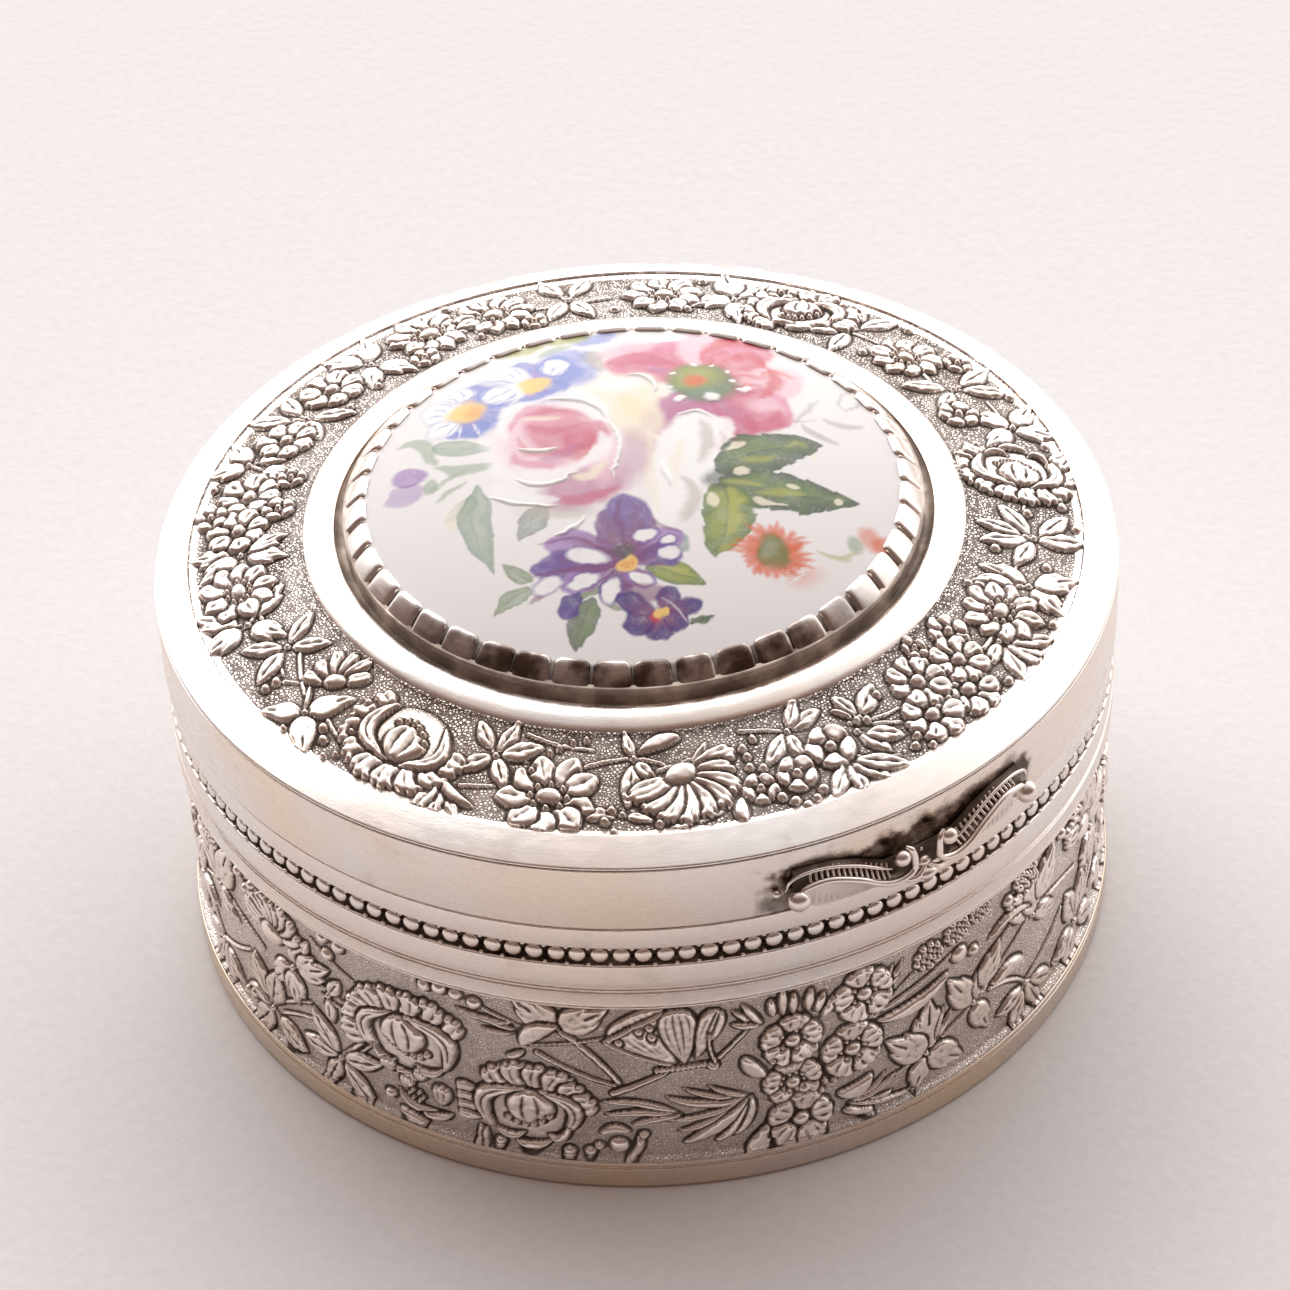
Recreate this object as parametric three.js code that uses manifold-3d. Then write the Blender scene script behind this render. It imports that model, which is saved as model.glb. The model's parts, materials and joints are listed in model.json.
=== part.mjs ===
// A round silver pill box with a hinged lid that carries a porcelain plaque.
// Units are millimetres and +Z is up. The origin is the centre of the flat underside.
// The thumbpiece faces -Y, and the hinge is at the back, on +Y, with its axis along X.
import * as THREE from 'three';
import { mergeVertices } from 'three/addons/utils/BufferGeometryUtils.js';
import Module from 'manifold-3d';

const wasm = await Module();
wasm.setup();

// ---------- driving dimensions ----------
const LID_RADIUS = 24.0;            // outside of the lid's vertical rim
const BASE_RADIUS = 23.9;           // outside of the plain bands of the base
const WALL_THICKNESS = 0.95;        // stamped outer wall, moulding included
const FIT = 0.05;                   // gap between soldered or pressed neighbours
const SIDES = 48;                   // flats round each turned piece

const FOOT_TOP = 1.8;               // plain foot band
const RELIEF_TOP = 12.2;            // floral side band ends here
const BEAD_CHANNEL_BOTTOM = 15.15;
const BEAD_CHANNEL_TOP = 16.2;
const PARTING = 17.5;               // height at which lid and base meet
const PARTING_GAP = 0.06;           // half the gap between lid and base
const RIM_TOP = 20.9;               // top of the lid's vertical band
const LID_EDGE_TOP = 21.35;         // outer edge of the domed top
const RIM_THICKNESS = 0.9;          // lid's vertical band, edge roll included
const BAND_LINES = [13.3, 13.52];   // heights of the two fine raised lines

const BOTTOM_THICKNESS = 0.9;
const LINER_OUTER = 22.7;           // gilt liner, its top is the collar inside the lid
const LINER_INNER = 22.1;
const LINER_TOP = 19.4;
const FLOOR_THICKNESS = 0.4;

const RELIEF_RING_OUTER = 22.24;    // floral ring on the lid
const RELIEF_RING_OUTER_Z = 21.9;
const FRAME_OUTER = 16.5;           // smooth convex ring round the plaque
const FRAME_INNER = 15.0;
const FRAME_OUTER_Z = 23.2;
const FRAME_RISE = 0.45;            // its inner edge stands this much higher than its outer
const FRAME_CROWN = 0.22;
const TOP_SHEET = 0.75;             // thickness of the stamped top and the frame ring's foot
const GUTTER_FLOOR_Z = 23.0;
const SEAT_THICKNESS = 0.45;
const LINING_THICKNESS = 0.5;

const BEZEL_OUTER = 14.4;           // collar that holds the plaque
const BEZEL_THICKNESS = 0.28;
const BEZEL_SHOULDER_Z = 24.05;     // the collar is cut into tabs above this
const BEZEL_TIP_RADIUS = 13.45;     // outer face of the folded tips
const BEZEL_TIP_Z = 25.0;
const BEZEL_LEAN = 0.1;             // the inner face turns this much below the outer
const TAB_COUNT = 44;
const SLIT_WIDTH = 0.18;
const SLIT_BOTTOM_Z = BEZEL_SHOULDER_Z + 0.1;
const PLAQUE_TOP_Z = 26.05;
const PLAQUE_SLACK = 0.1;           // between the plaque's edge and the collar

const HINGE_Y = 23.1;               // hinge axis, at the parting height
const BARREL_RADIUS = 1.1;
const PIN_RADIUS = 0.45;
const BARREL_LENGTH = 13.8;
const KNUCKLE_COUNT = 5;
const KNUCKLE_GAP = 0.06;
const NOTCH_HALF_WIDTH = 7.0;       // the walls are cut away this far for the barrel
const NOTCH_HALF_HEIGHT = 1.2;
const BEARER_INNER_Y = 21.6;
const BEARER_CLEARANCE = 0.08;      // between a bearer's groove and the barrel

const THUMB_HALF_WIDTH = 7.1;       // measured along the rim
const THUMB_DEPTH = 1.3;            // how far the scrolls stand out from the rim
const THUMB_MID_Z = 18.75;          // the scrolls wave about this height
const THUMB_WAVE = 0.65;
const THUMB_DROP_HALF_WIDTH = 1.3;
const THUMB_DROP = 1.15;            // how far the drop between the scrolls hangs down

// ---------- finishes ----------
function silver(shade = 0xc9c2ba, roughness = 0.28) {
  return new THREE.MeshStandardMaterial({ color: shade, roughness, metalness: 1.0 });
}

function oxidisedSilver() {
  return silver(0xa79f97, 0.38);
}

function gilt() {
  return new THREE.MeshStandardMaterial({ color: 0xd9b56a, roughness: 0.25, metalness: 1.0 });
}

function porcelain() {
  return new THREE.MeshStandardMaterial({ color: 0xf3efec, roughness: 0.08, metalness: 0.0 });
}

// ---------- helpers ----------
function named(name, geometry, material) {
  const mesh = new THREE.Mesh(geometry, material);
  mesh.name = name;
  return mesh;
}

// A closed (radius, height) outline, counter-clockwise, turned about the Z axis.
function turned(outline, sides = SIDES) {
  const points = outline.map(([radius, z]) => new THREE.Vector2(radius, z));
  if (outline[0][0] > 0) points.push(points[0].clone());
  return new THREE.LatheGeometry(points, sides).rotateX(Math.PI / 2);
}

// A plain turned ring of rectangular section.
function ringBand(inner, outer, bottom, top) {
  return turned([[inner, bottom], [outer, bottom], [outer, top], [inner, top]]);
}

// A turned disc with a flat top and bottom.
function disc(radius, bottom, top) {
  return turned([[0, bottom], [radius, bottom], [radius, top], [0, top]]);
}

function toManifold(geometry) {
  const bare = geometry.clone();
  bare.deleteAttribute('normal');
  bare.deleteAttribute('uv');
  const welded = mergeVertices(bare, 1e-4);
  return new wasm.Manifold(new wasm.Mesh({
    numProp: 3,
    vertProperties: new Float32Array(welded.attributes.position.array),
    triVerts: new Uint32Array(welded.index.array),
  }));
}

function fromManifold(solid) {
  const { vertProperties, triVerts } = solid.getMesh();
  const geometry = new THREE.BufferGeometry();
  geometry.setAttribute('position', new THREE.BufferAttribute(new Float32Array(vertProperties), 3));
  geometry.setIndex(new THREE.BufferAttribute(new Uint32Array(triVerts), 1));
  geometry.computeVertexNormals();
  return geometry;
}

function cut(geometry, ...cutters) {
  let solid = toManifold(geometry);
  for (const cutter of cutters) solid = solid.subtract(toManifold(cutter));
  return fromManifold(solid);
}

function join(...geometries) {
  let solid = toManifold(geometries[0]);
  for (const geometry of geometries.slice(1)) solid = solid.add(toManifold(geometry));
  return fromManifold(solid);
}

// A box given by its lowest and highest corners.
function block(low, high) {
  const size = high.map((value, i) => value - low[i]);
  const centre = high.map((value, i) => (value + low[i]) / 2);
  return new THREE.BoxGeometry(...size).translate(...centre);
}

// ---------- hinge: what the walls lose for it ----------
function hingeNotch(fromY, bottom, top) {
  const beyondRim = LID_RADIUS + 2;
  return block([-NOTCH_HALF_WIDTH, fromY, bottom], [NOTCH_HALF_WIDTH, beyondRim, top]);
}

const NOTCH_BOTTOM = PARTING - NOTCH_HALF_HEIGHT;
const NOTCH_TOP = PARTING + NOTCH_HALF_HEIGHT;

// ---------- base ----------
const SLEEVE_INNER = BASE_RADIUS - WALL_THICKNESS;

function bottomPlate() {
  const radius = SLEEVE_INNER - FIT;
  const chamfer = 0.15;
  return turned([[0, 0], [radius - chamfer, 0], [radius, chamfer], [radius, BOTTOM_THICKNESS],
    [0, BOTTOM_THICKNESS]]);
}

function footRing() {
  const outer = BASE_RADIUS - 0.05;
  const chamfer = 0.2;
  return turned([[SLEEVE_INNER, 0], [outer - chamfer, 0], [outer, chamfer],
    [outer, FOOT_TOP - FIT], [SLEEVE_INNER, FOOT_TOP - FIT]]);
}

function sideWall() {
  const reliefRadius = BASE_RADIUS - 0.05;
  return ringBand(SLEEVE_INNER, reliefRadius, FOOT_TOP, RELIEF_TOP);
}

// The plain band above the relief, with two fine raised lines round it.
function upperBand() {
  const lineHeight = 0.07;
  const lineHalfWidth = 0.07;
  const outline = [[SLEEVE_INNER, RELIEF_TOP + FIT], [BASE_RADIUS, RELIEF_TOP + FIT]];
  for (const lineZ of BAND_LINES) {
    outline.push([BASE_RADIUS, lineZ - lineHalfWidth]);
    outline.push([BASE_RADIUS + lineHeight, lineZ]);
    outline.push([BASE_RADIUS, lineZ + lineHalfWidth]);
  }
  outline.push([BASE_RADIUS, BEAD_CHANNEL_BOTTOM - FIT]);
  outline.push([SLEEVE_INNER, BEAD_CHANNEL_BOTTOM - FIT]);
  return turned(outline);
}

// The plain band above the beads; its lower part is the back of the bead channel.
function mouthRing() {
  const channelWall = 0.2;
  const channelBack = SLEEVE_INNER + channelWall;
  const top = PARTING - PARTING_GAP;
  const ring = turned([[SLEEVE_INNER, BEAD_CHANNEL_BOTTOM], [channelBack, BEAD_CHANNEL_BOTTOM],
    [channelBack, BEAD_CHANNEL_TOP], [BASE_RADIUS, BEAD_CHANNEL_TOP], [BASE_RADIUS, top],
    [SLEEVE_INNER, top]]);
  return cut(ring, hingeNotch(0, NOTCH_BOTTOM, NOTCH_TOP));
}

// The beaded wire, as the plain six-sided ring that just holds the beads.
function beadWire() {
  const wireRadius = 0.38;
  const centreRadius = BASE_RADIUS - 0.33;
  const centreZ = (BEAD_CHANNEL_BOTTOM + BEAD_CHANNEL_TOP) / 2;
  const outline = [];
  for (let corner = 0; corner < 6; corner += 1) {
    const angle = (corner * Math.PI) / 3;
    outline.push([centreRadius + wireRadius * Math.cos(angle), centreZ + wireRadius * Math.sin(angle)]);
  }
  return turned(outline);
}

function linerWall() {
  const lead = 0.15;
  const aboveLiner = LINER_TOP + 1;
  const bottom = BOTTOM_THICKNESS + FIT;
  const tube = turned([[LINER_INNER, bottom], [LINER_OUTER, bottom], [LINER_OUTER, LINER_TOP - lead],
    [LINER_OUTER - lead, LINER_TOP], [LINER_INNER, LINER_TOP]]);
  return cut(tube, hingeNotch(0, NOTCH_BOTTOM, aboveLiner));
}

function linerFloor() {
  const bottom = BOTTOM_THICKNESS + FIT;
  return disc(LINER_INNER - FIT, bottom, bottom + FLOOR_THICKNESS);
}

// ---------- lid ----------
const RIM_INNER = LID_RADIUS - RIM_THICKNESS;
const THUMB_BACK = LID_RADIUS + 0.06;  // a hair in front of the rim it is soldered to

function lidRim() {
  const bottom = PARTING + PARTING_GAP;
  const rim = ringBand(RIM_INNER, LID_RADIUS, bottom, RIM_TOP);
  return cut(rim, hingeNotch(0, NOTCH_BOTTOM, NOTCH_TOP));
}

// The stamped top: a plain sloping border, then the floral ring rising to the frame.
function lidTop() {
  const inner = FRAME_OUTER + FIT;
  const bottom = RIM_TOP + FIT;
  return turned([[inner, FRAME_OUTER_Z - TOP_SHEET], [RELIEF_RING_OUTER, bottom], [LID_RADIUS, bottom],
    [LID_RADIUS, LID_EDGE_TOP], [RELIEF_RING_OUTER, RELIEF_RING_OUTER_Z], [inner, FRAME_OUTER_Z]]);
}

function lidFrameRing() {
  const bottom = FRAME_OUTER_Z - TOP_SHEET;
  const outline = [[FRAME_INNER, bottom], [FRAME_OUTER, bottom], [FRAME_OUTER, FRAME_OUTER_Z]];
  const steps = 4;
  const width = FRAME_OUTER - FRAME_INNER;
  for (let step = 1; step < steps; step += 1) {
    const t = step / steps;
    const crown = FRAME_CROWN * Math.sin(Math.PI * t);
    outline.push([FRAME_OUTER - width * t, FRAME_OUTER_Z + FRAME_RISE * t + crown]);
  }
  outline.push([FRAME_INNER, FRAME_OUTER_Z + FRAME_RISE]);
  return turned(outline);
}

function bezelSeat() {
  return disc(FRAME_INNER - FIT, GUTTER_FLOOR_Z - SEAT_THICKNESS, GUTTER_FLOOR_Z);
}

// A collar that stands up from the seat and leans in over the plaque, slit into tabs.
function bezel() {
  const bottom = GUTTER_FLOOR_Z + FIT;
  const outline = [[BEZEL_OUTER - BEZEL_THICKNESS, bottom], [BEZEL_OUTER, bottom],
    [BEZEL_OUTER, BEZEL_SHOULDER_Z], [BEZEL_TIP_RADIUS, BEZEL_TIP_Z],
    [BEZEL_TIP_RADIUS - BEZEL_THICKNESS, BEZEL_TIP_Z - BEZEL_LEAN],
    [BEZEL_OUTER - BEZEL_THICKNESS, BEZEL_SHOULDER_Z - BEZEL_LEAN]];
  const slitLow = [BEZEL_TIP_RADIUS - 1, -SLIT_WIDTH / 2, SLIT_BOTTOM_Z];
  const slitHigh = [BEZEL_OUTER + 1, SLIT_WIDTH / 2, BEZEL_TIP_Z + 1];
  const slits = [];
  for (let tab = 0; tab < TAB_COUNT; tab += 1) {
    const slit = block(slitLow, slitHigh);
    slits.push(slit.rotateZ((tab * 2 * Math.PI) / TAB_COUNT));
  }
  return cut(turned(outline, TAB_COUNT), ...slits);
}

function porcelainPlaque() {
  const tabClearance = 0.15;
  const underTabs = 0.35;
  const domePower = 2.2;              // a little flatter in the middle than a sphere
  const seatRadius = BEZEL_OUTER - BEZEL_THICKNESS - PLAQUE_SLACK;
  const shoulderRadius = BEZEL_TIP_RADIUS - BEZEL_THICKNESS - tabClearance;
  const shoulderZ = BEZEL_TIP_Z - underTabs;
  const outline = [[0, GUTTER_FLOOR_Z + FIT], [seatRadius, GUTTER_FLOOR_Z + FIT],
    [seatRadius, BEZEL_SHOULDER_Z - underTabs]];
  const steps = 6;
  for (let step = 0; step <= steps; step += 1) {
    const radius = shoulderRadius * (1 - step / steps);
    const fall = (PLAQUE_TOP_Z - shoulderZ) * (radius / shoulderRadius) ** domePower;
    outline.push([radius, PLAQUE_TOP_Z - fall]);
  }
  return turned(outline);
}

function lidLining() {
  const underside = RIM_TOP - 2 * FIT;
  return disc(RIM_INNER - FIT, underside - LINING_THICKNESS, underside);
}

// A point of the thumbpiece, by its distance along the rim from the middle.
function onRim(along, radius, z) {
  const angle = along / LID_RADIUS - Math.PI / 2;
  return [radius * Math.cos(angle), radius * Math.sin(angle), z];
}

// The five-cornered section of the thumbpiece at one place along the rim. The scroll waves
// up and down, is tallest half-way out, and is thinnest at its outer end.
function thumbSection(along) {
  const side = Math.abs(along) / THUMB_HALF_WIDTH;
  const midZ = THUMB_MID_Z + THUMB_WAVE * Math.sin(Math.PI * (side * 1.25 - 0.35));
  const halfHeight = 0.45 + 0.4 * Math.sin(Math.PI * Math.min(1, side * 1.02)) ** 2;
  const drop = THUMB_DROP * Math.max(0, 1 - Math.abs(along) / THUMB_DROP_HALF_WIDTH);
  const swell = Math.sin(Math.PI * Math.min(1, 0.25 + 0.7 * (1 - side)));
  const depth = THUMB_DEPTH * (0.45 + 0.55 * swell);
  const top = midZ + halfHeight;
  const low = midZ - halfHeight - drop;
  return [[THUMB_BACK, low], [THUMB_BACK + depth * 0.8, low], [THUMB_BACK + depth, (top + low) / 2],
    [THUMB_BACK + depth * 0.7, top], [THUMB_BACK, top]];
}

function thumbBall(along, z, ballRadius) {
  const sunk = 0.12;                // the ball starts this far in front of the rim
  const place = onRim(along, THUMB_BACK + sunk + ballRadius, z);
  return new THREE.SphereGeometry(ballRadius, 10, 8).translate(...place);
}

// The cast thumbpiece, as a bar that follows the rim: two mirrored scrolls that swell and
// thin along their length, a drop between them, and balls at the scroll ends.
function thumbpiece() {
  const stations = 30;
  const positions = [];
  const index = [];
  for (let i = 0; i <= stations; i += 1) {
    const along = THUMB_HALF_WIDTH * ((2 * i) / stations - 1);
    for (const [radius, z] of thumbSection(along)) positions.push(...onRim(along, radius, z));
  }
  const ring = 5;
  for (let i = 0; i < stations; i += 1) {
    for (let k = 0; k < ring; k += 1) {
      const a = i * ring + k;
      const b = i * ring + ((k + 1) % ring);
      index.push(a, a + ring, b, b, a + ring, b + ring);
    }
  }
  const last = stations * ring;
  for (let k = 1; k < ring - 1; k += 1) {
    index.push(0, k, k + 1);
    index.push(last, last + k + 1, last + k);
  }
  const bar = new THREE.BufferGeometry();
  bar.setAttribute('position', new THREE.Float32BufferAttribute(positions, 3));
  bar.setIndex(index);

  const outer = { along: 6.4, z: 18.75, radius: 0.55 };
  const inner = { along: 1.25, z: 19.35, radius: 0.5 };
  const balls = [];
  for (const side of [-1, 1]) {
    balls.push(thumbBall(side * outer.along, outer.z, outer.radius));
    balls.push(thumbBall(side * inner.along, inner.z, inner.radius));
  }
  return join(bar, ...balls);
}

// ---------- hinge ----------
function alongX(geometry) {
  return geometry.rotateY(Math.PI / 2);
}

// One short tube of the barrel, with its bore for the pin.
function knuckle(length) {
  const bore = PIN_RADIUS + FIT;
  const tube = turned([[bore, -length / 2], [BARREL_RADIUS, -length / 2],
    [BARREL_RADIUS, length / 2], [bore, length / 2]], 20);
  return alongX(tube);
}

// A strip that fills the corner of the notch, hollowed to the barrel's curve.
// It lies below the axis for the base (side -1), above it for the lid (side 1).
function hingeBearer(side) {
  const halfLength = BARREL_LENGTH / 2;
  const partingSlack = 0.02;
  const shortOfAxis = 0.2;
  const near = PARTING + side * (PARTING_GAP + partingSlack);
  const far = PARTING + side * (NOTCH_HALF_HEIGHT - FIT);
  const strip = block([-halfLength, BEARER_INNER_Y, Math.min(near, far)],
    [halfLength, HINGE_Y - shortOfAxis, Math.max(near, far)]);
  const barrel = alongX(new THREE.CylinderGeometry(
    BARREL_RADIUS + BEARER_CLEARANCE, BARREL_RADIUS + BEARER_CLEARANCE, BARREL_LENGTH + 2, 40,
  ).rotateX(Math.PI / 2)).translate(0, HINGE_Y, PARTING);
  return cut(strip, barrel);
}

function hingePin() {
  const pin = new THREE.CylinderGeometry(PIN_RADIUS, PIN_RADIUS, BARREL_LENGTH, 16).rotateX(Math.PI / 2);
  return alongX(pin).translate(0, HINGE_Y, PARTING);
}

// ---------- assembly ----------
const box = new THREE.Group();

const base = new THREE.Group();
base.add(named('bottom_plate', bottomPlate(), silver()));
base.add(named('foot_ring', footRing(), silver()));
base.add(named('side_wall', sideWall(), oxidisedSilver()));
base.add(named('upper_band', upperBand(), silver()));
base.add(named('bead_wire', beadWire(), silver()));
base.add(named('mouth_ring', mouthRing(), silver()));
base.add(named('liner_wall', linerWall(), gilt()));
base.add(named('liner_floor', linerFloor(), gilt()));
base.add(named('hinge_bearer_base', hingeBearer(-1), silver()));
box.add(base);

const lid = new THREE.Group();
lid.add(named('lid_rim', lidRim(), silver()));
lid.add(named('lid_top', lidTop(), oxidisedSilver()));
lid.add(named('lid_frame_ring', lidFrameRing(), silver()));
lid.add(named('bezel_seat', bezelSeat(), oxidisedSilver()));
lid.add(named('bezel', bezel(), silver()));
lid.add(named('porcelain_plaque', porcelainPlaque(), porcelain()));
lid.add(named('lid_lining', lidLining(), gilt()));
lid.add(named('thumbpiece', thumbpiece(), silver()));
lid.add(named('hinge_bearer_lid', hingeBearer(1), silver()));
box.add(lid);

// The knuckles alternate along the barrel: the first, third and fifth belong to the base.
const knuckleLength = (BARREL_LENGTH - (KNUCKLE_COUNT - 1) * KNUCKLE_GAP) / KNUCKLE_COUNT;
for (let i = 0; i < KNUCKLE_COUNT; i += 1) {
  const onBase = i % 2 === 0;
  const owner = onBase ? 'base' : 'lid';
  const number = Math.floor(i / 2) + 1;
  const mesh = named(`hinge_knuckle_${owner}_${number}`, knuckle(knuckleLength), silver());
  const x = -BARREL_LENGTH / 2 + knuckleLength / 2 + i * (knuckleLength + KNUCKLE_GAP);
  mesh.position.set(x, HINGE_Y, PARTING);
  (onBase ? base : lid).add(mesh);
}
base.add(named('hinge_pin', hingePin(), silver(0xb8b2aa, 0.3)));

export default box;
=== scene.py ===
"""A round silver pill box: chased flowers on the side and lid, a beaded wire, a scrolled
thumbpiece, and a painted porcelain plaque held by a tabbed bezel.

Lengths are millimetres until a mesh is made. The thumbpiece faces -Y and the hinge is at +Y.
Angles are degrees round the box from the thumbpiece, counter-clockwise seen from above.
"""

import json
import math

import bmesh
import bpy
import numpy as np
from mathutils import Matrix, Vector

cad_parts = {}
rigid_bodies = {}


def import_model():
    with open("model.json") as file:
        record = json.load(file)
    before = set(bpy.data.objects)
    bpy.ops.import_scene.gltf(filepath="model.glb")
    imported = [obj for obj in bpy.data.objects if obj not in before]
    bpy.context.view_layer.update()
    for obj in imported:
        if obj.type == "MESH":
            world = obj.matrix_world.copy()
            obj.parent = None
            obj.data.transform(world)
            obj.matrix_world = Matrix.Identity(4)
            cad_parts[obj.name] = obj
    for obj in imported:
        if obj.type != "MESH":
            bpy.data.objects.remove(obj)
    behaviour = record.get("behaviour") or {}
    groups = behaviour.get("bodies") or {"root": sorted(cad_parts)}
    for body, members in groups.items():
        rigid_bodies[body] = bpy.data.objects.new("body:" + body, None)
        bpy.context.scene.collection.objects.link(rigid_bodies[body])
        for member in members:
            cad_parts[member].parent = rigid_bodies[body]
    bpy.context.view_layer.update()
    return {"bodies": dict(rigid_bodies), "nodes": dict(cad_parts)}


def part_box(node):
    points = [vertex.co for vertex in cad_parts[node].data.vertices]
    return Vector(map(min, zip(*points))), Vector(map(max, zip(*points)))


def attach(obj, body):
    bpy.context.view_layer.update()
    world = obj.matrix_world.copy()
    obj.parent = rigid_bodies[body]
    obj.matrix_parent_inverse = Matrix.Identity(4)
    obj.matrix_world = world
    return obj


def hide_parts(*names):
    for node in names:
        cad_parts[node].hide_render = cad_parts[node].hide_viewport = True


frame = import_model()
MM = 0.001
RNG = np.random.default_rng(7)


# ---------- sizes, read from the frame ----------
def reach(node):
    """How far a turned node reaches from the Z axis."""
    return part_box(node)[1].x / MM


def bottom(node):
    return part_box(node)[0].z / MM


def top(node):
    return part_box(node)[1].z / MM


LID_RADIUS = reach("lid_rim")
BASE_RADIUS = reach("mouth_ring")
WALL_INNER = BASE_RADIUS - 0.95         # inside of the stamped outer wall
FRAME_OUTER = reach("lid_frame_ring")
FRAME_WIDTH = 1.65
LINER_OUTER = reach("liner_wall")
LINER_INNER = LINER_OUTER - 0.6
PLAQUE_RADIUS = reach("porcelain_plaque")
PLAQUE_TOP = top("porcelain_plaque")
HINGE = (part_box("hinge_pin")[0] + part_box("hinge_pin")[1]) / 2 / MM
NOTCH_HALF_WIDTH = 7.0
NOTCH_HALF_HEIGHT = 1.2

FRONT = -31.0                           # the layouts' angles start from here
SIDES = 288                             # flats round a smooth turned piece
RELIEF_STEP = 0.06                      # grid of the chased sheets
GROOVE = 0.21                           # width of the sunk line round each chased form
SIDE_GROUND = BASE_RADIUS - 0.5         # radius of the sunk ground of the side band
FINE_LINES = (13.3, 13.52)              # heights of the two raised lines over the flowers
BEADS = 144
CHANNEL_BOTTOM = 15.15                  # the channel that the beaded wire lies in
CHANNEL_TOP = 16.2
LID_JOINT = 21.22                       # height of the joint between the rim and the top sheet
LID_BORDER = 22.24                      # radius where the chased ring of the lid ends
LID_EDGE_Z = 21.35                      # heights of the lid's top at its rim, where the chased
RING_EDGE_Z = 21.9                      # ring ends, and where the smooth frame ring starts
FRAME_FOOT_Z = 23.2
TABS = 44                               # tabs of the bezel


# ---------- meshes ----------
def new_object(name, mesh):
    made = bpy.data.objects.new(name, mesh)
    bpy.context.scene.collection.objects.link(made)
    return made


def new_piece(name, points, faces, material, body, nodes=(), sharp=40.0):
    """A smooth-shaded mesh object that rides on a body and stands for CAD nodes."""
    mesh = bpy.data.meshes.new(name)
    points = np.asarray(points, np.float32)
    if isinstance(faces, np.ndarray):
        mesh.vertices.add(len(points))
        mesh.vertices.foreach_set("co", (points * MM).ravel())
        mesh.loops.add(faces.size)
        mesh.loops.foreach_set("vertex_index", faces.ravel().astype(np.int32))
        mesh.polygons.add(len(faces))
        starts = np.arange(len(faces), dtype=np.int32) * faces.shape[1]
        mesh.polygons.foreach_set("loop_start", starts)
        mesh.update(calc_edges=True)
    else:
        mesh.from_pydata((points * MM).tolist(), [], faces)
    mesh.polygons.foreach_set("use_smooth", np.ones(len(mesh.polygons), bool))
    if sharp:
        mesh.set_sharp_from_angle(angle=math.radians(sharp))
    mesh.materials.append(material)
    piece = new_object(name, mesh)
    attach(piece, body)
    if nodes:
        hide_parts(*nodes)
    return piece


def polar(radius, degrees):
    """The (x, y) place at a distance and an angle from the origin."""
    return radius * math.cos(math.radians(degrees)), radius * math.sin(math.radians(degrees))


def unturned(x, y, degrees):
    """Coordinates as seen by something that is turned by some degrees."""
    cos, sin = polar(1.0, degrees)
    return x * cos + y * sin, y * cos - x * sin


def on_ring(radius, angle, z):
    """A place given by radius, radians round from the thumbpiece, and height."""
    return np.array((radius * math.sin(angle), -radius * math.cos(angle), z))


def grid_faces(rows, columns, wrap=True):
    """Quads of a grid of points stored row by row, closed on itself along the columns."""
    row, column = np.meshgrid(np.arange(rows - 1), np.arange(columns if wrap else columns - 1),
                              indexing="ij")
    following = (column + 1) % columns
    corners = [row * columns + column, row * columns + following,
               (row + 1) * columns + following, (row + 1) * columns + column]
    return np.stack([corner.ravel() for corner in corners], axis=1)


def softened(corners, steps=4):
    """An outline whose corners (radius, z, rounding) become small arcs."""
    outline = []
    for index, (radius, z, rounding) in enumerate(corners):
        here = np.array((radius, z), float)
        if not rounding:
            outline.append(here)
            continue
        before = np.array(corners[index - 1][:2], float)
        after = np.array(corners[(index + 1) % len(corners)][:2], float)
        enter = here + (before - here) * min(0.5, rounding / np.linalg.norm(before - here))
        leave = here + (after - here) * min(0.5, rounding / np.linalg.norm(after - here))
        for t in np.linspace(0, 1, steps + 1):
            outline.append((1 - t) ** 2 * enter + 2 * t * (1 - t) * here + t ** 2 * leave)
    return outline


def turned_piece(name, corners, material, body, nodes=()):
    """A closed outline with softened corners turned about Z; points on the axis are merged."""
    outline = softened(corners)
    ring = np.array(outline + [outline[0]], float)
    angle = np.linspace(0, 2 * np.pi, SIDES, endpoint=False)
    points = np.stack([np.outer(ring[:, 0], np.sin(angle)), -np.outer(ring[:, 0], np.cos(angle)),
                       np.repeat(ring[:, 1:], SIDES, axis=1)], axis=2).reshape(-1, 3)
    piece = new_piece(name, points, grid_faces(len(ring), SIDES), material, body, nodes)
    weld(piece)
    return piece


def weld(piece):
    """Merges points that coincide and turns all faces outwards."""
    work = bmesh.new()
    work.from_mesh(piece.data)
    bmesh.ops.remove_doubles(work, verts=work.verts, dist=1e-7)
    bmesh.ops.recalc_face_normals(work, faces=work.faces)
    work.to_mesh(piece.data)
    work.free()


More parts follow.
